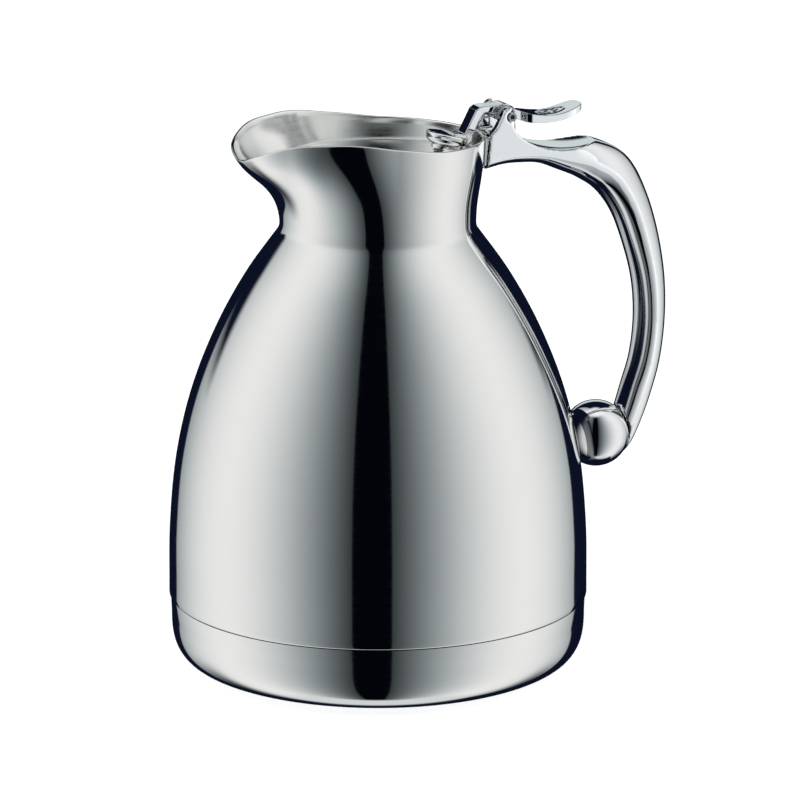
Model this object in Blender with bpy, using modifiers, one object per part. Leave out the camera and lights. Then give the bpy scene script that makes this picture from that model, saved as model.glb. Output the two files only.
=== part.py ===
"""Vacuum jug with a thumb-lever lid, as an assembly of separate pieces.

Sizes are in millimetres and become metres where a mesh is made. +Z is up, the pouring lip
points along -X and the handle along +X. The origin is the centre of the foot pad's underside.
"""

import math

import bmesh
import bpy
from mathutils import Matrix, Vector

MM = 0.001
GAP = 0.3
TURN_STEPS = 48
INNER_STEPS = 32

# Outer shell: a bell with a crease below the neck.
CREASE_Z = 138.5
CREASE_R = 30.4
SHELL_WALL = 0.9
BELL = [(65.6, 22.1), (65.2, 44.0), (63.0, 66.0), (58.2, 86.5), (50.6, 106.0), (41.2, 123.3), (30.4, 138.5)]

# Neck and pouring lip. Each row holds the angle from the lip's middle, the rim's radius and
# height there, the lean and drop of the section's upper control point, and the lower one's height.
RIM = [
    (0, 45.2, 162.0, 5.0, 8.5, 153.0),
    (15, 45.2, 165.0, 3.0, 9.5, 153.0),
    (30, 41.8, 168.9, 1.2, 10.5, 153.0),
    (45, 38.2, 169.9, 1.4, 11.5, 152.0),
    (60, 35.7, 170.0, 1.2, 12.5, 151.0),
    (80, 33.6, 168.4, 0.6, 13.5, 150.0),
    (110, 32.9, 166.3, 0.3, 14.0, 149.0),
    (180, 32.9, 166.0, 0.3, 14.0, 149.0),
]
NECK_WAIST_R = 30.15
NECK_ROWS = 7

# Base.
CUP_TOP_Z = 21.6
CUP_FLAT_R = 50.9
CUP_WALL_R = 64.9
CUP_CORNER_Z = 16.3
CUP_BOTTOM_Z = 0.4
CUP_POWER = 2.95
CUP_WALL = 0.8
CUP_HOLE_R = 46.0
FOOT_R = 45.4
FOOT_H = 1.6
INSERT_TOP_Z = 30.0

# Flask.
JACKET_INSET = 5.0
LINER_INSET = 12.0
FLASK_WALL = 0.7
JACKET_FLOOR_Z = 17.0
LINER_FLOOR_Z = 27.0
FLASK_TOP_Z = 148.1
JACKET_NECK_R = 28.9
LINER_NECK_R = 26.4

# Hinge: its pin lies along Y.
PIN_X = 41.0
PIN_Z = 171.5
PIN_R = 1.4
PIN_BORE_R = 1.7
PIN_HALF_LENGTH = 9.2
EAR_OUTER_Y = 9.0
EAR_INNER_Y = 5.6
EAR_R = 3.2

# Lid.
COVER_R = 29.0
STUD_X = 20.0
STUD_R = 1.5
PADDLE_HALF_WIDTH = 5.7
PADDLE_TIP_X = 66.8
PADDLE_ROUND_X = 60.0
PAD_X = 22.4
PAD_R = 6.5
ARM_HALF_WIDTH = 3.0

# Handle: centre line, thickness across it in the XZ plane, width along Y, squareness of the
# section, and how much narrower its outer side is.
HANDLE = [
    (39.5, 160.2, 8.8, 17.4, 6.0, 0.00),
    (46.0, 160.3, 9.2, 17.6, 6.0, 0.00),
    (53.0, 159.4, 8.6, 17.9, 5.0, 0.00),
    (61.0, 157.5, 11.0, 18.0, 4.5, 0.00),
    (69.8, 154.9, 13.6, 17.8, 3.4, 0.22),
    (77.9, 149.9, 14.6, 16.8, 2.8, 0.50),
    (84.1, 140.2, 12.8, 15.6, 2.5, 0.45),
    (88.4, 128.0, 11.6, 14.6, 2.4, 0.38),
    (91.2, 115.0, 10.3, 14.0, 2.3, 0.32),
    (91.8, 102.0, 9.5, 13.6, 2.3, 0.28),
    (90.4, 89.5, 9.4, 13.0, 2.3, 0.25),
    (87.4, 79.0, 9.6, 12.4, 2.3, 0.20),
    (84.6, 71.0, 9.0, 11.8, 2.3, 0.10),
    (82.0, 64.5, 7.8, 11.0, 2.3, 0.00),
    (80.2, 60.6, 6.0, 9.0, 2.3, 0.00),
]
HANDLE_SIDES = 18
BALL_X = 73.8
BALL_Z = 65.8
BALL_R = 10.6
BALL_SCREW_R = 2.0
HANDLE_SCREW_Y = 5.0
HANDLE_SCREW_Z = 158.5
HANDLE_SCREW_R = 1.2

# Name: base colour, roughness, metallic.
FINISHES = {
    "polished_steel": ((0.78, 0.79, 0.80, 1.0), 0.06, 1.0),
    "chromed_casting": ((0.82, 0.83, 0.85, 1.0), 0.05, 1.0),
    "flask_steel": ((0.60, 0.61, 0.62, 1.0), 0.30, 1.0),
    "spring_steel": ((0.55, 0.56, 0.58, 1.0), 0.25, 1.0),
    "black_plastic": ((0.02, 0.02, 0.025, 1.0), 0.45, 0.0),
    "grey_silicone": ((0.35, 0.36, 0.37, 1.0), 0.60, 0.0),
    "black_rubber": ((0.03, 0.03, 0.03, 1.0), 0.75, 0.0),
}


def clear_scene():
    for obj in list(bpy.data.objects):
        bpy.data.objects.remove(obj, do_unlink=True)


def make_collection(name):
    collection = bpy.data.collections.new(name)
    bpy.context.scene.collection.children.link(collection)
    return collection


def make_material(node, finish):
    """A Principled material for one piece, in one of the named finishes."""
    color, roughness, metallic = FINISHES[finish]
    material = bpy.data.materials.new(f"{node}_{finish}")
    material.use_nodes = True
    shader = material.node_tree.nodes["Principled BSDF"]
    shader.inputs["Base Color"].default_value = color
    shader.inputs["Roughness"].default_value = roughness
    shader.inputs["Metallic"].default_value = metallic
    material.diffuse_color = color
    return material


def add_piece(mesh, name, finish):
    """One visible piece of the jug."""
    mesh.materials.clear()
    mesh.materials.append(make_material(name, finish))
    mesh.shade_smooth()
    mesh.set_sharp_from_angle(angle=math.radians(35))
    piece = bpy.data.objects.new(name, mesh)
    PARTS.objects.link(piece)
    return piece


def add_cutter(mesh, name):
    """A helper solid for a Boolean, left out of renders."""
    cutter = bpy.data.objects.new(name, mesh)
    cutter.hide_render = True
    cutter.display_type = "WIRE"
    CUTTERS.objects.link(cutter)
    return cutter


def finish_mesh(bm, name):
    mesh = bpy.data.meshes.new(name)
    bm.to_mesh(mesh)
    bm.free()
    return mesh


def combine(piece, helper, operation):
    """Adds a Boolean of the helper to the piece."""
    modifier = piece.modifiers.new(f"{operation.lower()}_{helper.name}", "BOOLEAN")
    modifier.operation = operation
    modifier.solver = "EXACT"
    modifier.object = helper


def cut(piece, helper):
    combine(piece, helper, "DIFFERENCE")


def join(piece, helper):
    combine(piece, helper, "UNION")


def axis_turn(axis):
    """The rotation that lays a shape made along Z onto the named axis."""
    turns = {"X": Matrix.Rotation(math.pi / 2, 4, "Y"), "Y": Matrix.Rotation(-math.pi / 2, 4, "X")}
    return turns.get(axis, Matrix.Identity(4))


def cone_mesh(name, centre, axis, length, radius, end_radius=None, sides=24):
    """A cylinder or cone of this length about its centre; end_radius is at its + end."""
    bm = bmesh.new()
    place = Matrix.Translation(Vector(centre) * MM) @ axis_turn(axis)
    last = radius if end_radius is None else end_radius
    bmesh.ops.create_cone(
        bm, cap_ends=True, segments=sides, radius1=radius * MM, radius2=last * MM,
        depth=length * MM, matrix=place,
    )
    return finish_mesh(bm, name)


def box_mesh(name, low, high, bevel=0.0):
    """A box between two corners, with its edges rounded by bevel."""
    centre = (Vector(low) + Vector(high)) / 2
    size = Vector(high) - Vector(low)
    bm = bmesh.new()
    bmesh.ops.create_cube(bm, size=1.0)
    bmesh.ops.transform(bm, matrix=Matrix.Diagonal((*(size * MM), 1.0)), verts=bm.verts)
    bmesh.ops.translate(bm, vec=centre * MM, verts=bm.verts)
    if bevel:
        bmesh.ops.bevel(bm, geom=bm.edges[:], offset=bevel * MM, segments=2, affect="EDGES")
    return finish_mesh(bm, name)


def ball_mesh(name, centre, radii, rings=12):
    bm = bmesh.new()
    place = Matrix.Translation(Vector(centre) * MM) @ Matrix.Diagonal((*(Vector(radii) * MM), 1.0))
    bmesh.ops.create_uvsphere(bm, u_segments=2 * rings, v_segments=rings, radius=1.0, matrix=place)
    return finish_mesh(bm, name)


def plate_mesh(name, outline, half_width, upright=True):
    """A flat outline given a thickness, from a filled 2D curve: XZ and Y, or XY and Z if not upright."""
    curve = bpy.data.curves.new(name, "CURVE")
    curve.dimensions = "2D"
    curve.fill_mode = "BOTH"
    curve.extrude = half_width * MM
    spline = curve.splines.new("POLY")
    spline.points.add(len(outline) - 1)
    for point, (across, up) in zip(spline.points, outline):
        point.co = (across * MM, up * MM, 0.0, 1.0)
    spline.use_cyclic_u = True
    helper = bpy.data.objects.new(name, curve)
    CUTTERS.objects.link(helper)
    graph = bpy.context.evaluated_depsgraph_get()
    mesh = bpy.data.meshes.new_from_object(helper.evaluated_get(graph))
    bpy.data.objects.remove(helper, do_unlink=True)
    bm = bmesh.new()
    bm.from_mesh(mesh)
    bmesh.ops.remove_doubles(bm, verts=bm.verts, dist=0.00001)
    if upright:
        bmesh.ops.transform(bm, matrix=Matrix.Rotation(math.pi / 2, 4, "X"), verts=bm.verts)
    bmesh.ops.recalc_face_normals(bm, faces=bm.faces)
    bm.to_mesh(mesh)
    bm.free()
    return mesh


def turned(name, finish, profile, closed=True, steps=TURN_STEPS):
    """A piece turned about Z from (radius, height) points that run down the outer side."""
    bm = bmesh.new()
    points = [bm.verts.new((radius * MM, 0.0, height * MM)) for radius, height in profile]
    for first, second in zip(points, points[1:]):
        bm.edges.new((first, second))
    if closed:
        bm.edges.new((points[-1], points[0]))
    piece = add_piece(finish_mesh(bm, name), name, finish)
    screw = piece.modifiers.new("turn", "SCREW")
    screw.axis = "Z"
    screw.steps = steps
    screw.render_steps = steps
    screw.use_merge_vertices = True
    screw.merge_threshold = 0.00001
    screw.use_smooth_shade = True
    return piece


def catmull(before, first, second, after, t):
    """One value on the smooth curve through four in a row, between the middle two."""
    return 0.5 * (
        2 * first + (second - before) * t
        + (2 * before - 5 * first + 4 * second - after) * t ** 2
        + (3 * first - before - 3 * second + after) * t ** 3
    )


def smooth_rows(rows, parts):
    """Rows of numbers, with parts steps of a smooth curve between each two."""
    rows = [tuple(row) for row in rows]
    ends = [tuple(2 * a - b for a, b in zip(rows[0], rows[1]))]
    ends += rows + [tuple(2 * a - b for a, b in zip(rows[-1], rows[-2]))]
    result = []
    for i in range(1, len(rows)):
        for step in range(parts):
            four = zip(*ends[i - 1:i + 3])
            result.append(tuple(catmull(*values, step / parts) for values in four))
    return result + [rows[-1]]


def bell_radius(height):
    """The shell's outer radius at a height between the seam and the crease."""
    path = smooth_rows(BELL, 12)
    for (r0, z0), (r1, z1) in zip(path, path[1:]):
        if z0 <= height <= z1:
            return r0 + (r1 - r0) * (height - z0) / (z1 - z0)
    return path[0][0] if height < path[0][1] else path[-1][0]


def rim_at(angle):
    """(radius, height, lean, drop, lower handle height) of the rim at an angle in degrees."""
    angle = abs((angle + 180) % 360 - 180)
    mirrored = [(-RIM[1][0], *RIM[1][1:])] + RIM + [(360 - RIM[-2][0], *RIM[-2][1:])]
    for i in range(1, len(mirrored) - 2):
        before, first, second, after = mirrored[i - 1:i + 3]
        if first[0] <= angle <= second[0]:
            t = (angle - first[0]) / (second[0] - first[0])
            return [catmull(*values, t) for values in zip(before[1:], first[1:], second[1:], after[1:])]
    return list(RIM[-1][1:])


def neck_section(angle):
    """(radius, height) points of the neck from the rim down to just above the crease."""
    radius, height, lean, drop, low = rim_at(angle)
    corners = [(CREASE_R, CREASE_Z), (NECK_WAIST_R, low), (radius - lean, height - drop), (radius, height)]
    points = []
    for row in range(NECK_ROWS, 0, -1):
        t = row / NECK_ROWS
        weights = ((1 - t) ** 3, 3 * t * (1 - t) ** 2, 3 * t ** 2 * (1 - t), t ** 3)
        points.append(tuple(sum(w * c[i] for w, c in zip(weights, corners)) for i in range(2)))
    return points


def loft(name, rings, capped):
    """A skin over rings of points that all hold the same number, with flat ends if capped."""
    bm = bmesh.new()
    loops = [[bm.verts.new(Vector(point) * MM) for point in ring] for ring in rings]
    for upper, lower in zip(loops, loops[1:]):
        for i in range(len(upper)):
            j = (i + 1) % len(upper)
            bm.faces.new((upper[i], lower[i], lower[j], upper[j]))
    if capped:
        bm.faces.new(loops[0])
        bm.faces.new(reversed(loops[-1]))
    return finish_mesh(bm, name)


def add_wall(piece):
    """Gives a shell's skin its sheet thickness, inwards."""
    wall = piece.modifiers.new("wall", "SOLIDIFY")
    wall.thickness = SHELL_WALL * MM
    wall.offset = -1.0
    wall.use_even_offset = True


def build_bell_shell():
    """The bell between the seam and the crease, a turned sheet with a hole for the ball's screw."""
    profile = list(reversed(smooth_rows(BELL, 2)))
    bell = turned("bell_shell", "polished_steel", profile, closed=False)
    add_wall(bell)
    hole = cone_mesh("ball_screw_hole", (61.0, 0.0, BALL_Z), "X", 8.0, BALL_SCREW_R + GAP)
    cut(bell, add_cutter(hole, "ball_screw_hole"))


def build_neck_lip():
    """Neck and pouring lip, pressed from one sheet and welded to the bell at the crease."""
    columns = []
    for step in range(TURN_STEPS):
        angle = 360 * step / TURN_STEPS
        foot = (CREASE_R, CREASE_Z + GAP)
        columns.append((math.radians(angle), neck_section(angle) + [foot]))
    rings = []
    for row in range(NECK_ROWS + 1):
        rings.append([
            (-profile[row][0] * math.cos(turn), -profile[row][0] * math.sin(turn), profile[row][1])
            for turn, profile in columns
        ])
    neck = add_piece(loft("neck_lip", rings, False), "neck_lip", "polished_steel")
    add_wall(neck)
    for side in (-1, 1):
        name = f"neck_screw_hole_{side}"
        place = (32.0, side * HANDLE_SCREW_Y, HANDLE_SCREW_Z)
        cut(neck, add_cutter(cone_mesh(name, place, "X", 8.0, HANDLE_SCREW_R + GAP, sides=16), name))


def cup_corner(inset, steps):
    """Points down the cup's rounded corner, from its wall to its flat underside."""
    points = []
    for step in range(steps + 1):
        turn = math.radians(90) * (1 - step / steps)
        across = math.sin(turn) ** (2 / CUP_POWER) if turn > 0 else 0.0
        up = 1 - (math.cos(turn) ** (2 / CUP_POWER) if step else 0.0)
        reach = CUP_WALL_R - CUP_FLAT_R - inset
        rise = CUP_CORNER_Z - CUP_BOTTOM_Z - inset
        points.append((CUP_FLAT_R + reach * across, CUP_BOTTOM_Z + inset + rise * up))
    return points


def build_base():
    """Steel cup below the seam, its plastic insert, the cushion on it and the foot pad."""
    outer = [(CUP_WALL_R + 0.2, CUP_TOP_Z)] + cup_corner(0.0, 6) + [(CUP_HOLE_R, CUP_BOTTOM_Z)]
    inner = [(CUP_HOLE_R, CUP_BOTTOM_Z + CUP_WALL)] + list(reversed(cup_corner(CUP_WALL, 6)))
    inner.append((CUP_WALL_R + 0.2 - CUP_WALL, CUP_TOP_Z))
    turned("base_cup", "polished_steel", outer + inner)
    insert = [(62.8, INSERT_TOP_Z), (62.8, 16.0), (60.4, 6.5), (56.0, 3.0), (52.0, 2.0), (0.0, 2.0)]
    insert += [(0.0, 3.9), (51.4, 3.9), (55.0, 4.8), (58.9, 7.6), (61.2, 16.2), (61.2, INSERT_TOP_Z)]
    turned("base_insert", "black_plastic", insert, steps=INNER_STEPS)
    pad = cone_mesh("foot_pad", (0.0, 0.0, FOOT_H / 2), "Z", FOOT_H, FOOT_R, sides=TURN_STEPS)
    add_piece(pad, "foot_pad", "black_rubber")
    ring = [(40.0, 16.6), (42.0, 15.0), (42.0, 4.2), (30.0, 4.2), (30.0, 16.6)]
    turned("flask_cushion", "grey_silicone", ring, steps=INNER_STEPS)


def flask_side(inset, neck_r, floor_z, corner):
    """The outer side of a flask wall, from its neck down to its floor at the axis."""
    heights = [126.0, 108.0, 86.0, 60.0]
    side = [(neck_r, FLASK_TOP_Z), (neck_r, 139.0)]
    side += [(bell_radius(z) - inset, z) for z in heights if bell_radius(z) - inset > neck_r]
    reach = bell_radius(40.0) - inset
    for step in range(5):
        turn = math.radians(90 * step / 4)
        side.append((reach - corner * (1 - math.cos(turn)), floor_z + corner * (1 - math.sin(turn))))
    return side + [(0.0, floor_z)]


def build_flask():
    """Two walls of the flask with the vacuum between them, the pumping cap and the mouth seal."""
    outside = flask_side(JACKET_INSET, JACKET_NECK_R, JACKET_FLOOR_Z, 16.0)
    inside = flask_side(
        JACKET_INSET + FLASK_WALL, JACKET_NECK_R - FLASK_WALL, JACKET_FLOOR_Z + FLASK_WALL, 15.5
    )
    turned("flask_jacket", "flask_steel", outside + list(reversed(inside)), steps=INNER_STEPS)
    outside = flask_side(LINER_INSET, LINER_NECK_R, LINER_FLOOR_Z, 14.0)[1:]
    inside = flask_side(
        LINER_INSET + FLASK_WALL, LINER_NECK_R - FLASK_WALL, LINER_FLOOR_Z + FLASK_WALL, 13.5
    )
    lip_low = FLASK_TOP_Z + GAP
    lip_high = lip_low + FLASK_WALL
    lip = [(JACKET_NECK_R, lip_high), (JACKET_NECK_R, lip_low), (LINER_NECK_R, lip_low)]
    inner = list(reversed(inside))[:-1] + [(LINER_NECK_R - FLASK_WALL, lip_high)]
    turned("flask_liner", "flask_steel", lip + outside + inner, steps=INNER_STEPS)
    cap = [(0.0, 16.7), (8.0, 16.7), (8.0, 14.6), (6.0, 13.6), (0.0, 13.6)]
    turned("evacuation_cap", "flask_steel", cap, closed=False, steps=24)
    low = lip_high + GAP
    ring = [(29.6, low + 2.2), (29.8, low + 0.6), (29.4, low), (26.2, low), (26.2, low + 2.2)]
    turned("mouth_seal", "grey_silicone", ring, steps=INNER_STEPS)


def build_neck_bracket():
    """Curved plate welded to the back of the neck, with a lug between the hinge ears."""
    plate = [(34.5, 165.0), (33.7, 156.6), (33.0, 156.6), (33.35, 165.0)]
    bracket = turned("neck_bracket", "polished_steel", plate, steps=120)
    keep = box_mesh("bracket_span", (28.0, -7.6, 150.0), (40.0, 7.6, 170.0))
    combine(bracket, add_cutter(keep, "bracket_span"), "INTERSECT")
    lug = box_mesh("bracket_lug", (33.9, -4.2, 163.5), (36.8, 4.2, 166.0), bevel=0.5)
    join(bracket, add_cutter(lug, "bracket_lug"))
    for side in (-1, 1):
        name = f"bracket_hole_{side}"
        place = (34.0, side * HANDLE_SCREW_Y, HANDLE_SCREW_Z)
        cut(bracket, add_cutter(cone_mesh(name, place, "X", 6.0, HANDLE_SCREW_R + GAP, sides=16), name))


def arc(centre, radius, start, stop, steps):
    """Points of an arc in the XZ plane, between two angles in degrees from +X."""
    turns = [math.radians(start + (stop - start) * i / steps) for i in range(steps + 1)]
    return [(centre[0] + radius * math.cos(t), centre[1] + radius * math.sin(t)) for t in turns]


def handle_rings():
    """Rounded sections square to the handle's centre line."""
    rows = smooth_rows(HANDLE, 2)
    rings = []
    for i, (x, z, thick, width, power, taper) in enumerate(rows):
        ahead = rows[min(i + 1, len(rows) - 1)]
        behind = rows[max(i - 1, 0)]
        along = Vector((ahead[0] - behind[0], ahead[1] - behind[1])).normalized()
        outward = Vector((-along.y, along.x))
        ring = []
        for step in range(HANDLE_SIDES):
            turn = 2 * math.pi * step / HANDLE_SIDES
            out = math.copysign(abs(math.cos(turn)) ** (2 / power), math.cos(turn))
            side = math.copysign(abs(math.sin(turn)) ** (2 / power), math.sin(turn))
            side *= 1 - taper * max(out, 0.0)
            point = Vector((x, z)) + outward * (out * thick / 2)
            ring.append((point.x, side * width / 2, point.y))
        rings.append(ring)
    return rings


def build_handle():
    """Cast handle: grip, head with two hinge ears, thumb hollow and a seat for the ball."""
    handle = add_piece(loft("handle", handle_rings(), True), "handle", "chromed_casting")
    head = [(30.0, 153.2), (37.3, 155.2), (44.0, 155.7), (51.0, 155.5), (52.5, 158.0), (51.5, 162.9)]
    head += [(48.5, 163.9), (46.2, 165.2), (44.9, 166.6), (44.2, 168.4)]
    head += arc((PIN_X, PIN_Z), EAR_R, 0, 165, 9)
    head += [(37.0, 170.4), (36.0, 168.3), (33.8, 166.1), (30.0, 165.6)]
    join(handle, add_cutter(plate_mesh("handle_head", head, EAR_OUTER_Y), "handle_head"))
    slot = box_mesh("ear_slot", (28.0, -EAR_INNER_Y, 163.0), (46.6, EAR_INNER_Y, 180.0))
    cut(handle, add_cutter(slot, "ear_slot"))
    neck = cone_mesh("neck_seat", (0.0, 0.0, 160.0), "Z", 20.0, 33.5, 35.3, sides=96)
    cut(handle, add_cutter(neck, "neck_seat"))
    hollow = ball_mesh("thumb_hollow", (59.5, 0.0, 172.2), (20.0, 26.0, 13.0))
    cut(handle, add_cutter(hollow, "thumb_hollow"))
    bore = cone_mesh("pin_bore", (PIN_X, 0.0, PIN_Z), "Y", 30.0, PIN_BORE_R, sides=20)
    cut(handle, add_cutter(bore, "pin_bore"))
    socket = ball_mesh("ball_seat", (BALL_X, 0.0, BALL_Z), [BALL_R + GAP] * 3)
    cut(handle, add_cutter(socket, "ball_seat"))
    tap = cone_mesh("ball_screw_tap", (81.4, 0.0, BALL_Z), "X", 9.0, BALL_SCREW_R + GAP, sides=16)
    cut(handle, add_cutter(tap, "ball_screw_tap"))
    for side in (-1, 1):
        name = f"handle_tap_{side}"
        place = (36.0, side * HANDLE_SCREW_Y, HANDLE_SCREW_Z)
        cut(handle, add_cutter(cone_mesh(name, place, "X", 12.0, HANDLE_SCREW_R + GAP, sides=16), name))


def build_ball_joint():
    """Stand-off ball with the screw and washer that clamp it to the shell and the handle."""
    ball = ball_mesh("handle_ball", (BALL_X, 0.0, BALL_Z), [BALL_R] * 3)
    ball = add_piece(ball, "handle_ball", "chromed_casting")
    bore = cone_mesh("ball_bore", (BALL_X, 0.0, BALL_Z), "X", 30.0, BALL_SCREW_R + GAP, sides=20)
    cut(ball, add_cutter(bore, "ball_bore"))
    washer = cone_mesh("ball_washer", (60.85, 0.0, BALL_Z), "X", 0.5, 3.6)
    washer = add_piece(washer, "ball_washer", "spring_steel")
    bore = cone_mesh("washer_bore", (60.85, 0.0, BALL_Z), "X", 2.0, BALL_SCREW_R + GAP, sides=20)
    cut(washer, add_cutter(bore, "washer_bore"))
    screw = cone_mesh("ball_screw", (72.8, 0.0, BALL_Z), "X", 25.4, BALL_SCREW_R, sides=20)
    screw = add_piece(screw, "ball_screw", "spring_steel")
    head = cone_mesh("ball_screw_head", (59.6, 0.0, BALL_Z), "X", 1.4, 3.3, sides=20)
    join(screw, add_cutter(head, "ball_screw_head"))


def build_handle_screws():
    """Two screws from inside the neck, through the bracket, into the handle's head."""
    for number, side in ((1, -1), (2, 1)):
        name = f"handle_screw_{number}"
        place = (35.6, side * HANDLE_SCREW_Y, HANDLE_SCREW_Z)
        screw = cone_mesh(name, place, "X", 10.6, HANDLE_SCREW_R, sides=16)
        screw = add_piece(screw, name, "spring_steel")
        place = (30.1, side * HANDLE_SCREW_Y, HANDLE_SCREW_Z)
        head = cone_mesh(f"{name}_head", place, "X", 0.9, 1.4, 2.2, sides=16)
        join(screw, add_cutter(head, f"{name}_head"))


def build_hinge():
    """Hollow-ended pin and the torsion spring round it, both on the lid's axis."""
    pin = cone_mesh("hinge_pin", (PIN_X, 0.0, PIN_Z), "Y", 2 * PIN_HALF_LENGTH, PIN_R, sides=20)
    pin = add_piece(pin, "hinge_pin", "spring_steel")
    for side in (-1, 1):
        name = f"pin_dimple_{side}"
        place = (PIN_X, side * PIN_HALF_LENGTH, PIN_Z)
        cut(pin, add_cutter(cone_mesh(name, place, "Y", 3.0, 0.6, sides=12), name))
    wire_r = 0.35
    coil_r = 2.35
    pitch = 0.85
    sides = 14
    steps = int(3.5 * sides)
    points = [(PIN_X + coil_r, -5.0, 164.4)]
    for i in range(steps + 1):
        turn = 2 * math.pi * i / sides
        along = -5.0 + pitch * i / sides
        points.append((PIN_X + coil_r * math.cos(turn), along, PIN_Z - coil_r * math.sin(turn)))
    points.append((PIN_X - coil_r - 0.1, -2.0, PIN_Z + 0.1))
    points.append((PIN_X - 6.3, -2.0, PIN_Z - 0.9))
    curve = bpy.data.curves.new("hinge_spring", "CURVE")
    curve.dimensions = "3D"
    curve.bevel_depth = wire_r * MM
    curve.bevel_resolution = 1
    curve.use_fill_caps = True
    spline = curve.splines.new("POLY")
    spline.points.add(len(points) - 1)
    for spot, point in zip(spline.points, points):
        spot.co = (*(Vector(point) * MM), 1.0)
    curve.materials.append(make_material("hinge_spring", "spring_steel"))
    PARTS.objects.link(bpy.data.objects.new("hinge_spring", curve))


def paddle_outline():
    """Side outline of the thumb paddle, its upper edge first."""
    top = [(42.0, 173.7), (46.0, 172.0), (51.0, 170.9), (56.0, 170.6), (60.5, 171.3), (67.0, 173.4)]
    low = [(67.6, 171.8), (61.0, 169.1), (56.0, 168.3), (51.0, 168.3), (46.5, 168.9), (42.0, 170.6)]
    return smooth_rows(top, 2) + smooth_rows(low, 2)


def paddle_plan():
    """The paddle seen from above: a narrow neck between the ears, then a blunt rounded thumb plate."""
    near = [(42.0, 2.7), (46.4, 2.7), (47.4, 5.0), (49.0, PADDLE_HALF_WIDTH)]
    reach = PADDLE_TIP_X - PADDLE_ROUND_X
    for step in range(7):
        turn = math.radians(90 * step / 6)
        across = PADDLE_HALF_WIDTH * math.cos(turn) ** 0.6 if step < 6 else 0.0
        near.append((PADDLE_ROUND_X + reach * math.sin(turn) ** 0.8, across))
    return near + [(x, -y) for x, y in reversed(near[:-1])]


def build_lid_lever():
    """Lever casting: paddle, hinge barrel, arm over the rim and the pad on the cover."""
    lever = plate_mesh("lid_lever", paddle_outline(), PADDLE_HALF_WIDTH)
    lever = add_piece(lever, "lid_lever", "chromed_casting")
    plan = plate_mesh("paddle_plan", paddle_plan(), 10.0, upright=False)
    plan.transform(Matrix.Translation((0.0, 0.0, PIN_Z * MM)))
    combine(lever, add_cutter(plan, "paddle_plan"), "INTERSECT")
    barrel = cone_mesh("lever_barrel", (PIN_X, 1.9, PIN_Z), "Y", 6.8, 2.9, sides=24)
    join(lever, add_cutter(barrel, "lever_barrel"))
    arm = [(44.0, 173.4), (42.0, 174.3), (34.0, 174.3), (32.6, 174.1), (31.3, 173.2), (27.6, 166.0)]
    arm += [(24.0, 166.2), (24.0, 162.1), (28.6, 162.1), (29.9, 163.4), (30.2, 165.4), (32.9, 170.9)]
    arm += [(34.2, 172.2), (44.0, 171.6)]
    join(lever, add_cutter(plate_mesh("lever_arm", arm, ARM_HALF_WIDTH), "lever_arm"))
    pad = cone_mesh("lever_pad", (0.0, 0.0, 0.0), "Z", 3.6, 4.6, PAD_R, sides=28)
    pad.transform(Matrix.Translation(Vector((PAD_X, 0.0, 164.4)) * MM) @ Matrix.Rotation(0.21, 4, "Y"))
    join(lever, add_cutter(pad, "lever_pad"))
    foot = cone_mesh("pad_foot", (21.4, 0.0, 163.0), "Z", 2.0, 3.6, sides=24)
    join(lever, add_cutter(foot, "pad_foot"))
    coil = cone_mesh("spring_room", (PIN_X, -3.9, PIN_Z), "Y", 4.8, 3.1, sides=24)
    cut(lever, add_cutter(coil, "spring_room"))
    bore = cone_mesh("lever_bore", (PIN_X, 0.0, PIN_Z), "Y", 30.0, PIN_BORE_R, sides=20)
    cut(lever, add_cutter(bore, "lever_bore"))
    tap = cone_mesh("stud_tap", (STUD_X, 0.0, 162.0), "Z", 5.2, STUD_R + GAP, sides=16)
    cut(lever, add_cutter(tap, "stud_tap"))


def build_lid():
    """Domed cover, insulated core, seal, and the screw that holds them to the lever."""
    cover = [(0.0, 161.6), (12.0, 161.4), (22.0, 160.9), (27.6, 160.2), (28.7, 159.6), (COVER_R, 158.6)]
    cover += [(COVER_R, 156.4), (COVER_R - 0.8, 156.4), (COVER_R - 0.8, 158.5), (28.0, 159.0)]
    cover += [(27.2, 159.4), (22.0, 160.1), (12.0, 160.6), (0.0, 160.8)]
    cover = turned("lid_cover", "polished_steel", cover, closed=False, steps=40)
    core = [(0.0, 158.8), (27.0, 158.8), (27.7, 158.2), (27.7, 153.9), (24.6, 153.9), (24.3, 150.5)]
    core += [(20.0, 144.4), (18.4, 143.0), (0.0, 143.0)]
    core = turned("lid_core", "black_plastic", core, closed=False, steps=INNER_STEPS)
    bore = cone_mesh("stud_bore", (STUD_X, 0.0, 155.0), "Z", 30.0, STUD_R + GAP, sides=16)
    bore = add_cutter(bore, "stud_bore")
    cut(cover, bore)
    cut(core, bore)
    recess = cone_mesh("screw_recess", (STUD_X, 0.0, 144.3), "Z", 8.4, 2.9, sides=20)
    cut(core, add_cutter(recess, "screw_recess"))
    seal = [(27.4, 153.6), (28.3, 152.9), (27.8, 152.0), (25.4, 152.0), (24.95, 152.6), (24.95, 153.6)]
    turned("lid_seal", "grey_silicone", seal, steps=INNER_STEPS)
    washer = cone_mesh("lid_washer", (STUD_X, 0.0, 147.9), "Z", 0.5, 2.6)
    washer = add_piece(washer, "lid_washer", "spring_steel")
    cut(washer, bore)
    screw = cone_mesh("lid_screw", (STUD_X, 0.0, 155.1), "Z", 18.0, STUD_R, sides=16)
    screw = add_piece(screw, "lid_screw", "spring_steel")
    head = cone_mesh("lid_screw_head", (STUD_X, 0.0, 146.6), "Z", 1.4, 2.5, sides=16)
    join(screw, add_cutter(head, "lid_screw_head"))


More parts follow.
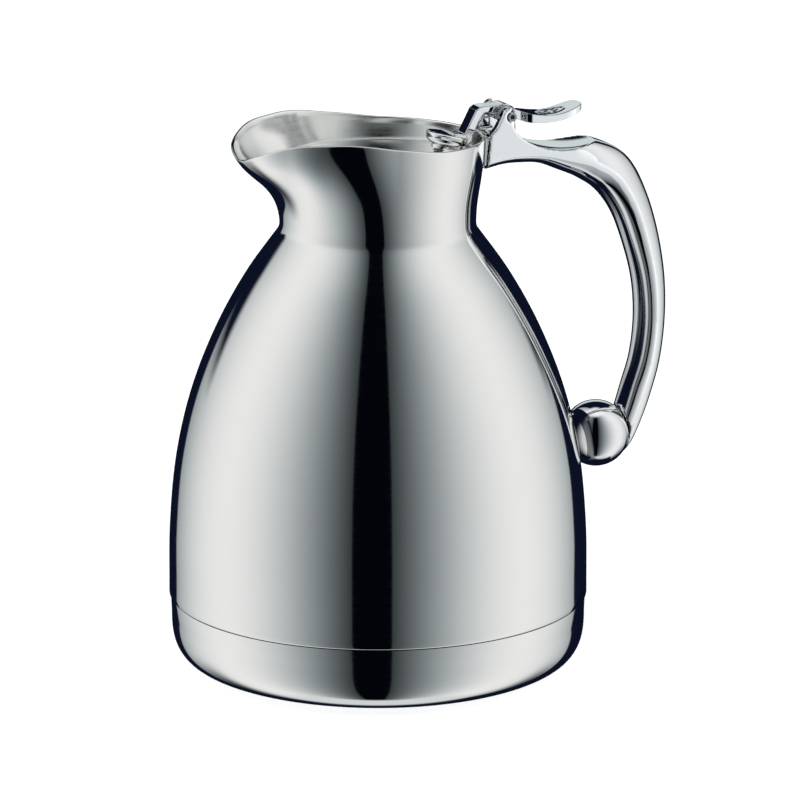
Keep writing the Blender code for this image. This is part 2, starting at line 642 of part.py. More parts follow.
def add_lid_pivot():
    """Hangs the lid's pieces on an empty that stands on the hinge axis."""
    pivot = bpy.data.objects.new("lid_pivot", None)
    pivot.location = Vector((PIN_X, 0.0, PIN_Z)) * MM
    PARTS.objects.link(pivot)
    bpy.context.view_layer.update()
    for name in ("lid_lever", "lid_cover", "lid_core", "lid_seal", "lid_screw", "lid_washer"):
        piece = bpy.data.objects[name]
        piece.parent = pivot
        piece.matrix_parent_inverse = pivot.matrix_world.inverted()


clear_scene()
PARTS = make_collection("vacuum_jug")
CUTTERS = make_collection("cutters")
CUTTERS.hide_render = True
build_bell_shell()
build_neck_lip()
build_base()
build_flask()
build_neck_bracket()
build_handle()
build_ball_joint()
build_handle_screws()
build_hinge()
build_lid_lever()
build_lid()
add_lid_pivot()
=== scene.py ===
"""Finished look of a vacuum jug: a polished shell, a cast handle and a lid worked by a thumb lever.

Sizes are in millimetres and become metres where a mesh is made. The pouring lip points along -X
and the handle along +X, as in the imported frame.
"""

import logging
import math
from collections.abc import Sequence
from dataclasses import dataclass, field
from enum import Enum
from typing import Any

import bmesh
import bpy
from mathutils import Matrix, Vector

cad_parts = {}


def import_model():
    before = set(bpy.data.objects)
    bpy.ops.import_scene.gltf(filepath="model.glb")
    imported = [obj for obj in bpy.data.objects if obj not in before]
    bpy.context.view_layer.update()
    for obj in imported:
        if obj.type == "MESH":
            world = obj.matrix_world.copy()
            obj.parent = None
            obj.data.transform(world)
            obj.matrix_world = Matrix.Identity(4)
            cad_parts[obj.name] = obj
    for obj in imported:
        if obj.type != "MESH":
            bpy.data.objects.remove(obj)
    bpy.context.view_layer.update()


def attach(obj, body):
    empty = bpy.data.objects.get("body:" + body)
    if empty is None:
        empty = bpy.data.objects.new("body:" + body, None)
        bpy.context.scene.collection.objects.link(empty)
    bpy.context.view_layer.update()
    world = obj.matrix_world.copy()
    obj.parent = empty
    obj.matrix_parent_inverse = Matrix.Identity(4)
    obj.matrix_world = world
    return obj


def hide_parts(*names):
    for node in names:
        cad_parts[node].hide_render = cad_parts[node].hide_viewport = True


LOG = logging.getLogger("vacuum_jug")
MM = 0.001
SHARP_DEGREES = 35.0
# How far two separate pieces stand apart.
GAP = 0.3
CURTAIN_TONE = "#0b1122"

Row = tuple[float, ...]
Flat = tuple[float, float]
Spot = tuple[float, float, float]
Tree = bpy.types.NodeTree
Node = bpy.types.Node
Socket = bpy.types.NodeSocket
Piece = bpy.types.Object


class Body(Enum):
    """The bodies that pieces ride on."""

    JUG = "jug"
    LID = "lid"


class Work(Enum):
    """What a tool shape does to the stock it is brought to."""

    ADD = "UNION"
    CUT = "DIFFERENCE"
    KEEP = "INTERSECT"


# ---------------------------------------------------------------- nodes and finishes


def linear(colour: str) -> tuple[float, float, float, float]:
    """Linear RGBA of an sRGB hex colour.

    Args:
        colour: Such as "#c9cacc".

    Returns:
        Red, green and blue in linear light, and an alpha of 1.
    """
    channels = [int(colour[i:i + 2], 16) / 255 for i in (1, 3, 5)]
    light = [c / 12.92 if c <= 0.04045 else ((c + 0.055) / 1.055) ** 2.4 for c in channels]
    return (*light, 1.0)


def add_node(
    tree: Tree,
    kind: str,
    settings: dict[str, Any] | None = None,
    inputs: dict[str | int, Any] | None = None,
) -> Node:
    """Adds a node with its settings, input values and links.

    Args:
        tree: The tree that takes the node.
        kind: The node's type name.
        settings: Values for the node's own properties.
        inputs: For each input socket's name or number, a value or the output socket that feeds it.

    Returns:
        The new node.
    """
    node = tree.nodes.new(kind)
    for name, value in (settings or {}).items():
        setattr(node, name, value)
    for socket, value in (inputs or {}).items():
        if isinstance(value, Socket):
            tree.links.new(value, node.inputs[socket])
        else:
            node.inputs[socket].default_value = value
    return node


def calc(tree: Tree, operation: str, first: Socket | float, second: Socket | float = 0.0) -> Socket:
    """The result of a Math node on one or two values."""
    return add_node(tree, "ShaderNodeMath", {"operation": operation}, {0: first, 1: second}).outputs[0]


def soft_step(tree: Tree, value: Socket, low: float, high: float) -> Socket:
    """0 at low, 1 at high, and a soft change between. Low may be the greater."""
    inputs = {"Value": value, "From Min": low, "From Max": high}
    node = add_node(tree, "ShaderNodeMapRange", {"interpolation_type": "SMOOTHSTEP"}, inputs)
    return node.outputs["Result"]


@dataclass(frozen=True)
class Finish:
    """What a piece is made of and how its surface was made."""

    name: str
    slot: str
    colour: str
    roughness: float
    metallic: float

    def material(self) -> bpy.types.Material:
        """The finish as a material, made the first time it is asked for."""
        found = bpy.data.materials.get(self.name)
        if found:
            return found
        material = bpy.data.materials.new(self.name)
        material.use_nodes = True
        tree = material.node_tree
        tree.nodes.clear()
        looks = {"Base Color": linear(self.colour), "Roughness": self.roughness, "Metallic": self.metallic}
        shader = add_node(tree, "ShaderNodeBsdfPrincipled", None, looks)
        add_node(tree, "ShaderNodeOutputMaterial", None, {"Surface": shader.outputs["BSDF"]})
        place = add_node(tree, "ShaderNodeTexCoord").outputs["Object"]
        self.texture(tree, shader, place)
        return material

    def texture(self, tree: Tree, shader: Node, place: Socket) -> None:
        """Adds the surface's own pattern; each kind of finish has its own.

        Args:
            tree: The material's nodes.
            shader: The shader that takes the pattern.
            place: Object coordinates, in metres.
        """
        raise NotImplementedError


def relief(
    tree: Tree,
    shader: Node,
    height: Socket,
    strength: float,
    depth: float,
) -> None:
    """Raises a pattern on a shader's surface.

    Args:
        tree: The material's nodes.
        shader: The shader that takes the relief.
        height: The pattern, from 0 to 1.
        strength: How much of it shows.
        depth: Its real depth.
    """
    inputs = {"Strength": strength, "Distance": depth * MM, "Height": height}
    bump = add_node(tree, "ShaderNodeBump", None, inputs)
    tree.links.new(bump.outputs["Normal"], shader.inputs["Normal"])


def vary_roughness(
    tree: Tree, shader: Node, pattern: Socket, low: float, high: float
) -> None:
    """Lets a pattern move a shader's roughness between two values."""
    inputs = {"Value": pattern, "From Min": 0.3, "From Max": 0.7, "To Min": low, "To Max": high}
    spread = add_node(tree, "ShaderNodeMapRange", {"clamp": True}, inputs)
    tree.links.new(spread.outputs["Result"], shader.inputs["Roughness"])


@dataclass(frozen=True)
class LappedSteel(Finish):
    """Stainless sheet turned against a wheel, so its marks run round the jug's axis."""

    line: float = 0.5
    wander: float = 1.4
    spread: float = 0.02
    depth: float = 0.001

    def texture(self, tree: Tree, shader: Node, place: Socket) -> None:
        """Marks that are long round the axis and one line apart up it."""
        flat = add_node(
            tree, "ShaderNodeVectorMath", {"operation": "MULTIPLY"}, {0: place, 1: (1.0, 1.0, 0.0)}
        )
        around = add_node(
            tree, "ShaderNodeVectorMath", {"operation": "NORMALIZE"}, {0: flat.outputs["Vector"]}
        )
        wide = add_node(
            tree, "ShaderNodeVectorMath", {"operation": "SCALE"},
            {0: around.outputs["Vector"], "Scale": self.wander},
        )
        lines = (0.0, 0.0, 1 / (self.line * MM))
        marks = add_node(
            tree, "ShaderNodeVectorMath", {"operation": "MULTIPLY_ADD"},
            {0: place, 1: lines, 2: wide.outputs["Vector"]},
        )
        noise = add_node(
            tree, "ShaderNodeTexNoise", None,
            {"Vector": marks.outputs["Vector"], "Scale": 1.0, "Detail": 2.0, "Roughness": 0.6},
        )
        pattern = noise.outputs["Fac"]
        vary_roughness(tree, shader, pattern, self.roughness - self.spread, self.roughness + self.spread)
        relief(tree, shader, pattern, 0.15, self.depth)


@dataclass(frozen=True)
class GrainFinish(Finish):
    """A surface whose grain is the same in every direction: cast and plated, moulded, or drawn wire."""

    grain: float = 1.0
    detail: float = 2.0
    spread: float = 0.02
    depth: float = 0.01
    strength: float = 0.3

    def texture(self, tree: Tree, shader: Node, place: Socket) -> None:
        """Grains of one size, as roughness and as a shallow relief."""
        noise = add_node(
            tree, "ShaderNodeTexNoise", None,
            {"Vector": place, "Scale": 1 / (self.grain * MM), "Detail": self.detail, "Roughness": 0.55},
        )
        pattern = noise.outputs["Fac"]
        vary_roughness(tree, shader, pattern, self.roughness - self.spread, self.roughness + self.spread)
        relief(tree, shader, pattern, self.strength, self.depth)


# 18/8 stainless, mirror polished: crisp reflections, softened a little along the polishing lines.
MIRROR_STEEL = LappedSteel("mirror_polished_stainless", "polished_steel", "#f1f1f0", 0.055, 1.0)
# The same sheet where the wheel reached less well, on the neck's inner side.
SATIN_STEEL = LappedSteel("satin_lapped_stainless", "polished_steel", "#f6f6f4", 0.17, 1.0)
# Bright chrome on a polished zinc casting: sharper than the sheet, with the casting's faint waves.
CHROME_PLATE = GrainFinish(
    "chrome_plated_zinc_casting", "chromed_casting", "#f3f4f6", 0.03, 1.0, grain=9.0, spread=0.01,
    depth=0.004, strength=0.12,
)
# Deep-drawn stainless, electropolished: drawing lines round the axis under a satin sheen.
DRAWN_STEEL = LappedSteel(
    "drawn_stainless", "flask_steel", "#c9cbcc", 0.26, 1.0, line=0.8, wander=2.4, spread=0.09, depth=0.01
)
# Plain stainless wire and turned screws: grey, with fine tool marks.
BARE_STEEL = GrainFinish(
    "plain_stainless", "spring_steel", "#bfc0c2", 0.24, 1.0, grain=0.3, spread=0.08, depth=0.006
)
# Polypropylene from a spark-eroded mould: black with a fine even grain.
MOULDED_PP = GrainFinish(
    "spark_textured_polypropylene", "black_plastic", "#1a1a1c", 0.46, 0.0, grain=0.35, detail=4.0,
    spread=0.08, depth=0.02, strength=0.5,
)
# Food-grade silicone: matt, with a slightly uneven bloom.
SILICONE = GrainFinish(
    "moulded_silicone", "grey_silicone", "#9b9d9f", 0.58, 0.0, grain=1.6, detail=3.0, spread=0.1, depth=0.015
)
# Black rubber sheet: matt and slightly pitted.
RUBBER = GrainFinish(
    "matt_rubber", "black_rubber", "#1c1c1c", 0.74, 0.0, grain=0.5, detail=4.0, spread=0.1, depth=0.03,
    strength=0.6,
)


# ---------------------------------------------------------------- curves and profiles


def catmull(before: float, first: float, second: float, after: float, t: float) -> float:
    """One value on the smooth curve through four in a row, between the middle two."""
    return 0.5 * (
        2 * first + (second - before) * t
        + (2 * before - 5 * first + 4 * second - after) * t ** 2
        + (3 * first - before - 3 * second + after) * t ** 3
    )


def smooth_rows(rows: Sequence[Row], parts: int) -> list[Row]:
    """Rows of numbers with steps of a smooth curve between each two.

    Args:
        rows: The rows that the curve passes through.
        parts: Steps between two rows.

    Returns:
        The rows of the curve, ends included.
    """
    ends = [tuple(2 * a - b for a, b in zip(rows[0], rows[1]))]
    ends += [tuple(row) for row in rows]
    ends.append(tuple(2 * a - b for a, b in zip(rows[-1], rows[-2])))
    result: list[Row] = []
    for i in range(1, len(rows)):
        for step in range(parts):
            four = zip(*ends[i - 1:i + 3])
            result.append(tuple(catmull(*values, step / parts) for values in four))
    return result + [tuple(rows[-1])]


def quadratic(first: Flat, corner: Flat, last: Flat, parts: int) -> list[Flat]:
    """Points of the curve that rounds a corner, both ends included."""
    points = []
    for step in range(parts + 1):
        t = step / parts
        weights = ((1 - t) ** 2, 2 * t * (1 - t), t * t)
        points.append(tuple(sum(w * p[i] for w, p in zip(weights, (first, corner, last))) for i in range(2)))
    return points


def rounded(profile: Sequence[Flat], radius: float, parts: int = 4) -> list[Flat]:
    """A closed outline with its corners rounded, apart from those on the axis.

    Args:
        profile: (radius, height) or other flat points.
        radius: How far from a corner the rounding starts, at most.
        parts: Steps round each corner.

    Returns:
        The outline with curves for corners.
    """
    result: list[Flat] = []
    for i, corner in enumerate(profile):
        here = Vector(corner)
        back = Vector(profile[i - 1]) - here
        ahead = Vector(profile[(i + 1) % len(profile)]) - here
        turn = math.pi - back.angle(ahead, math.pi)
        if abs(corner[0]) < 1e-6 or turn < math.radians(20):
            result.append(tuple(corner))
            continue
        start = here + back.normalized() * min(radius, 0.45 * back.length)
        stop = here + ahead.normalized() * min(radius, 0.45 * ahead.length)
        result += quadratic(tuple(start), tuple(corner), tuple(stop), parts)
    return result


def arc(centre: Flat, radius: float, start: float, stop: float, steps: int) -> list[Flat]:
    """Points of an arc between two angles in degrees."""
    turns = [math.radians(start + (stop - start) * i / steps) for i in range(steps + 1)]
    return [(centre[0] + radius * math.cos(t), centre[1] + radius * math.sin(t)) for t in turns]


# ---------------------------------------------------------------- meshes


def new_object(name: str, mesh: bpy.types.Mesh) -> Piece:
    """Shades a mesh and puts it in the scene."""
    mesh.shade_smooth()
    mesh.set_sharp_from_angle(angle=math.radians(SHARP_DEGREES))
    obj = bpy.data.objects.new(name, mesh)
    bpy.context.scene.collection.objects.link(obj)
    return obj


def close_mesh(name: str, bm: bmesh.types.BMesh) -> Piece:
    """Turns a closed shape's faces outwards and makes an object of it."""
    bmesh.ops.recalc_face_normals(bm, faces=bm.faces[:])
    mesh = bpy.data.meshes.new(name)
    bm.to_mesh(mesh)
    bm.free()
    return new_object(name, mesh)


def axis_point(axis: str, radius: float, turn: float, along: float) -> Vector:
    """A point at a radius and an angle round the X, Y or Z axis, and so far along it."""
    first, second = radius * math.cos(turn), radius * math.sin(turn)
    order = {"X": (along, first, second), "Y": (first, along, second), "Z": (first, second, along)}
    return Vector(order[axis])


def turned(
    name: str, profile: Sequence[Flat], steps: int = 128, axis: str = "Z", centre: Sequence[float] = (0, 0, 0)
) -> Piece:
    """A solid turned from a closed profile.

    Args:
        name: The object's name.
        profile: (radius, distance along the axis) points of a closed outline.
        steps: Columns round the axis.
        axis: "X", "Y" or "Z".
        centre: A point that the axis passes through, from which distances along it count.

    Returns:
        The solid.
    """
    bm = bmesh.new()
    middle = Vector(centre)
    rings = []
    for radius, along in profile:
        count = 1 if radius < 1e-6 else steps
        turns = [2 * math.pi * i / count for i in range(count)]
        ring = [bm.verts.new((middle + axis_point(axis, radius, turn, along)) * MM) for turn in turns]
        rings.append(ring * steps if count == 1 else ring)
    for i, ring in enumerate(rings):
        after = rings[(i + 1) % len(rings)]
        for j in range(steps):
            k = (j + 1) % steps
            corners = list(dict.fromkeys((ring[j], after[j], after[k], ring[k])))
            if len(corners) > 2:
                bm.faces.new(corners)
    return close_mesh(name, bm)


def lofted(name: str, rings: Sequence[Sequence[Vector]], looped: bool = False) -> Piece:
    """A skin over rings of as many points each.

    Args:
        name: The object's name.
        rings: The rings, in order.
        looped: True joins the last ring to the first; False closes both ends with a flat face.

    Returns:
        The closed shape.
    """
    bm = bmesh.new()
    loops = [[bm.verts.new(point * MM) for point in ring] for ring in rings]
    count = len(loops[0])
    pairs = list(zip(loops, loops[1:])) + ([(loops[-1], loops[0])] if looped else [])
    for here, after in pairs:
        for i in range(count):
            j = (i + 1) % count
            bm.faces.new((here[i], after[i], after[j], here[j]))
    if not looped:
        bm.faces.new(loops[0])
        bm.faces.new(reversed(loops[-1]))
    return close_mesh(name, bm)


def plate(name: str, outline: Sequence[Flat], half_width: float, upright: bool = True) -> Piece:
    """A flat outline with a thickness: XZ and Y, or XY and Z round the hinge if not upright."""
    rings = []
    for side in (-half_width, half_width):
        if upright:
            rings.append([Vector((x, side, z)) for x, z in outline])
        else:
            rings.append([Vector((x, y, HINGE_PIN.height + side)) for x, y in outline])
    return lofted(name, rings)


def drum(
    name: str,
    centre: Sequence[float],
    axis: str,
    length: float,
    radius: float,
    end_radius: float | None = None,
    sides: int = 64,
) -> Piece:
    """A cylinder or cone of this length about its centre; end_radius is at its + end."""
    last = radius if end_radius is None else end_radius
    profile = [(0.0, -length / 2), (radius, -length / 2), (last, length / 2), (0.0, length / 2)]
    return turned(name, profile, sides, axis, centre)


def block(name: str, low: Sequence[float], high: Sequence[float]) -> Piece:
    """A box between two corners."""
    outline = [(low[0], low[2]), (high[0], low[2]), (high[0], high[2]), (low[0], high[2])]
    rings = [[Vector((x, y, z)) for x, z in outline] for y in (low[1], high[1])]
    return lofted(name, rings)


def ellipsoid(name: str, centre: Sequence[float], radii: Sequence[float], rings: int = 48) -> Piece:
    """A ball stretched along the axes."""
    bm = bmesh.new()
    place = Matrix.Translation(Vector(centre) * MM) @ Matrix.Diagonal((*(Vector(radii) * MM), 1.0))
    bmesh.ops.create_uvsphere(bm, u_segments=2 * rings, v_segments=rings, radius=1.0, matrix=place)
    return close_mesh(name, bm)


def worked(
    name: str,
    stock: Piece,
    tools: Sequence[tuple[Work, Piece]],
    voxel: float = 0.0,
    polish: int = 0,
) -> Piece:
    """Brings tool shapes to a stock, one after the other, and can polish the edges round.

    Args:
        name: The finished object's name.
        stock: The shape that is worked. It and the tools are used up.
        tools: What each tool does, and its shape.
        voxel: Where over 0, the cell that the surface is rebuilt on, which rounds every edge.
        polish: Smoothing passes after that.

    Returns:
        The worked solid.
    """
    for how, tool in tools:
        step = stock.modifiers.new(tool.name, "BOOLEAN")
        step.operation = how.value
        step.solver = "MANIFOLD"
        step.object = tool
    if voxel:
        rebuild = stock.modifiers.new("cast_skin", "REMESH")
        rebuild.mode = "VOXEL"
        rebuild.voxel_size = voxel * MM
        smooth = stock.modifiers.new("polishing", "SMOOTH")
        smooth.factor = 0.5
        smooth.iterations = polish
    bpy.context.view_layer.update()
    mesh = bpy.data.meshes.new_from_object(stock.evaluated_get(bpy.context.evaluated_depsgraph_get()))
    for used in [stock, *(tool for _, tool in tools)]:
        bpy.data.objects.remove(used, do_unlink=True)
    mesh.name = name
    return new_object(name, mesh)


def install(piece: Piece, finish: Finish, body: Body, *nodes: str) -> None:
    """Gives a piece its finish and its place in the frame.

    Args:
        piece: The finished object.
        finish: What it is made of.
        body: The body that it moves with.
        nodes: The frame's nodes that it stands for.
    """
    piece.data.materials.clear()
    piece.data.materials.append(finish.material())
    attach(piece, body.value)
    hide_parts(*nodes)
    LOG.info("%s: %d faces in %s, on %s", piece.name, len(piece.data.polygons), finish.name, body.value)


# ---------------------------------------------------------------- geometry nodes


def group_tree(name: str, sockets: dict[str, str]) -> tuple[Tree, Node]:
    """A geometry tree with named inputs.

    Args:
        name: The tree's name.
        sockets: The type of each input, by its name.

    Returns:
        The tree and its input node.
    """
    tree = bpy.data.node_groups.new(name, "GeometryNodeTree")
    for socket, kind in sockets.items():
        tree.interface.new_socket(socket, in_out="INPUT", socket_type=kind)
    tree.interface.new_socket("Result", in_out="OUTPUT", socket_type="NodeSocketGeometry")
    return tree, add_node(tree, "NodeGroupInput")


def end_tree(tree: Tree, shape: Socket, finish: Socket) -> None:
    """Ends a geometry tree with real geometry in its finish."""
    real = add_node(tree, "GeometryNodeRealizeInstances", None, {"Geometry": shape})
    inputs = {"Geometry": real.outputs["Geometry"], "Material": finish}
    dressed = add_node(tree, "GeometryNodeSetMaterial", None, inputs)
    add_node(tree, "NodeGroupOutput", None, {"Result": dressed.outputs["Geometry"]})


def wire_tree() -> Tree:
    """Round wire along a path, with closed ends."""
    kinds = {
        "Path": "NodeSocketGeometry", "Wire radius": "NodeSocketFloat", "Sides": "NodeSocketInt",
        "Finish": "NodeSocketMaterial",
    }
    tree, given = group_tree("round_wire", kinds)
    section = add_node(
        tree, "GeometryNodeCurvePrimitiveCircle", None,
        {"Radius": given.outputs["Wire radius"], "Resolution": given.outputs["Sides"]},
    )
    wire = add_node(
        tree, "GeometryNodeCurveToMesh", None,
        {"Curve": given.outputs["Path"], "Profile Curve": section.outputs["Curve"], "Fill Caps": True},
    )
    end_tree(tree, wire.outputs["Mesh"], given.outputs["Finish"])
    return tree


def stud_tree() -> Tree:
    """Small moulded studs on a square grid, inside a circle, added under a disc."""
    kinds = {
        "Disc": "NodeSocketGeometry", "Pitch": "NodeSocketFloat", "Reach": "NodeSocketFloat",
        "Stud radius": "NodeSocketFloat", "Stud height": "NodeSocketFloat", "Finish": "NodeSocketMaterial",
    }
    tree, given = group_tree("moulded_studs", kinds)
    size = calc(tree, "MULTIPLY", given.outputs["Reach"], 2.0)
    count = calc(tree, "DIVIDE", size, given.outputs["Pitch"])
    grid = add_node(
        tree, "GeometryNodeMeshGrid", None,
        {"Size X": size, "Size Y": size, "Vertices X": count, "Vertices Y": count},
    )
    place = add_node(tree, "GeometryNodeInputPosition")
    length = add_node(
        tree, "ShaderNodeVectorMath", {"operation": "LENGTH"}, {0: place.outputs["Position"]}
    )
    outside = calc(tree, "GREATER_THAN", length.outputs["Value"], given.outputs["Reach"])
    inner = add_node(
        tree, "GeometryNodeDeleteGeometry", {"domain": "POINT"},
        {"Geometry": grid.outputs["Mesh"], "Selection": outside},
    )
    foot = calc(tree, "MULTIPLY", given.outputs["Stud radius"], 0.7)
    stud = add_node(
        tree, "GeometryNodeMeshCone", None,
        {
            "Vertices": 10, "Radius Top": given.outputs["Stud radius"], "Radius Bottom": foot,
            "Depth": given.outputs["Stud height"],
        },
    )
    studs = add_node(
        tree, "GeometryNodeInstanceOnPoints", None,
        {"Points": inner.outputs["Geometry"], "Instance": stud.outputs["Mesh"]},
    )
    whole = add_node(tree, "GeometryNodeJoinGeometry")
    tree.links.new(given.outputs["Disc"], whole.inputs["Geometry"])
    tree.links.new(studs.outputs["Instances"], whole.inputs["Geometry"])
    end_tree(tree, whole.outputs["Geometry"], given.outputs["Finish"])
    return tree


def grown(
    name: str, host: Piece, tree: Tree, values: dict[str, Any]
) -> Piece:
    """Runs a geometry tree on an object and keeps the result as a plain mesh.

    Args:
        name: The finished object's name.
        host: The object that the tree starts from. It is used up.
        tree: The geometry tree.
        values: The tree's inputs, by name.

    Returns:
        The finished object.
    """
    modifier = host.modifiers.new(tree.name, "NODES")
    modifier.node_group = tree
    for item in tree.interface.items_tree:
        if item.in_out == "INPUT" and item.name in values:
            modifier[item.identifier] = values[item.name]
    bpy.context.view_layer.update()
    mesh = bpy.data.meshes.new_from_object(host.evaluated_get(bpy.context.evaluated_depsgraph_get()))
    bpy.data.objects.remove(host, do_unlink=True)
    mesh.name = name
    return new_object(name, mesh)


# ---------------------------------------------------------------- the jug


@dataclass(frozen=True)
class HingePin:
    """Where the lid's axis is, and its pin."""

    across: float = 41.0
    height: float = 171.5
    radius: float = 1.4
    bore: float = 1.7
    half_length: float = 9.2


HINGE_PIN = HingePin()


@dataclass
class PouringShell:
    """Bell, neck and pouring lip: one polished sheet with a rolled rim, satin inside."""

    wall: float = 0.9
    rim_wall: float = 1.05
    columns: int = 256
    crease: Flat = (30.4, 138.5)
    waist: float = 30.15
    bell: list[Flat] = field(default_factory=lambda: [
        (65.6, 22.1), (65.2, 44.0), (63.0, 66.0), (58.2, 86.5), (50.6, 106.0), (41.2, 123.3), (30.4, 138.5),
    ])
    # Angle from the lip's middle, the rim's radius and height there, the lean and drop of the
    # section's upper control point, and the height of its lower one.
    rim: list[Row] = field(default_factory=lambda: [
        (0, 45.2, 162.0, 5.0, 8.5, 153.0),
        (15, 45.2, 165.0, 3.0, 9.5, 153.0),
        (30, 41.8, 168.9, 1.2, 10.5, 153.0),
        (45, 38.2, 169.9, 1.4, 11.5, 152.0),
        (60, 35.7, 170.0, 1.2, 12.5, 151.0),
        (80, 33.6, 168.4, 0.6, 13.5, 150.0),
        (110, 32.9, 166.3, 0.3, 14.0, 149.0),
        (180, 32.9, 166.0, 0.3, 14.0, 149.0),
    ])

    def bell_radius(self, height: float) -> float:
        """The outer radius at a height between the seam and the crease."""
        path = smooth_rows(self.bell, 12)
        for (r0, z0), (r1, z1) in zip(path, path[1:]):
            if z0 <= height <= z1:
                return r0 + (r1 - r0) * (height - z0) / (z1 - z0)
        return path[0][0] if height < path[0][1] else path[-1][0]

    def rim_at(self, angle: float) -> list[float]:
        """The rim's row at an angle in degrees, without the angle."""
        angle = abs((angle + 180) % 360 - 180)
        rows = [(-self.rim[1][0], *self.rim[1][1:])] + self.rim
        rows.append((360 - self.rim[-2][0], *self.rim[-2][1:]))
        for i in range(1, len(rows) - 2):
            before, first, second, after = rows[i - 1:i + 3]
            if first[0] <= angle <= second[0]:
                t = (angle - first[0]) / (second[0] - first[0])
                return [catmull(*v, t) for v in zip(before[1:], first[1:], second[1:], after[1:])]
        return list(self.rim[-1][1:])

    def outer_side(self, angle: float, neck_rows: int = 44) -> list[Vector]:
        """(radius, height) points down the outer side, from the rim to the seam."""
        radius, height, lean, drop, low = self.rim_at(angle)
        corners = [self.crease, (self.waist, low), (radius - lean, height - drop), (radius, height)]
        points: list[Flat] = []
        for row in range(neck_rows, 1, -1):
            t = row / neck_rows
            weights = ((1 - t) ** 3, 3 * t * (1 - t) ** 2, 3 * t ** 2 * (1 - t), t ** 3)
            points.append(tuple(sum(w * c[i] for w, c in zip(weights, corners)) for i in range(2)))
        bell = [point for point in reversed(smooth_rows(self.bell, 14)) if point[1] < self.crease[1] - 0.6]
        points += quadratic(points[-1], self.crease, bell[0], 5)[1:-1]
        return [Vector(point) for point in points + bell]

    def loop(self, angle: float) -> list[Vector]:
        """The closed section at an angle: outer side up, over the rolled rim, inner side down."""
        outer = self.outer_side(angle)
        inner, normals = [], []
        for i, point in enumerate(outer):
            along = (outer[max(i - 1, 0)] - outer[min(i + 1, len(outer) - 1)]).normalized()
            normals.append(Vector((-along.y, along.x)))
            depth = max(0.0, 1 - i / 8)
            inner.append(point + normals[-1] * (self.wall + (self.rim_wall - self.wall) * depth))
        roll = []
        up = Vector((normals[0].y, -normals[0].x))
        middle = outer[0] + normals[0] * self.rim_wall / 2
        for step in range(1, 8):
            turn = math.pi * step / 8
            reach = -normals[0] * math.cos(turn) + up * math.sin(turn)
            roll.append(middle + reach * self.rim_wall / 2)
        # The lower edge has its corners broken.
        edge = outer[-1]
        foot = [edge + Vector((-0.06, 0.0)), edge + Vector((-0.3, -0.2)), inner[-1] + Vector((0.15, -0.2))]
        outer[-1] = edge + Vector((0.0, 0.2))
        return list(reversed(outer)) + roll + inner[::2] + [inner[-1]] + list(reversed(foot))

    def build(self) -> None:
        """Makes the shell, with its holes for the handle's screws."""
        rings = []
        for column in range(self.columns):
            angle = 360 * column / self.columns
            turn = math.radians(angle)
            away = Vector((-math.cos(turn), -math.sin(turn)))
            rings.append([Vector((p.x * away.x, p.x * away.y, p.y)) for p in self.loop(angle)])
        sheet = lofted("shell_sheet", rings, looped=True)
        holes = [(Work.CUT, drum("ball_hole", (61.0, 0.0, 65.8), "X", 12.0, 2.3))]
        for side in (-1, 1):
            place = (32.0, side * 5.0, 158.5)
            holes.append((Work.CUT, drum(f"screw_hole_{side}", place, "X", 8.0, 1.5, sides=32)))
        shell = worked("polished_shell", sheet, holes)
        install(shell, MIRROR_STEEL, Body.JUG, "bell_shell", "neck_lip")
        shell.data.materials.append(SATIN_STEEL.material())
        for face in shell.data.polygons:
            outward = Vector((face.center.x, face.center.y, 0.0)).normalized()
            inside = face.normal.dot(outward) < 0.1 and face.normal.z < 0.92
            face.material_index = int(inside)


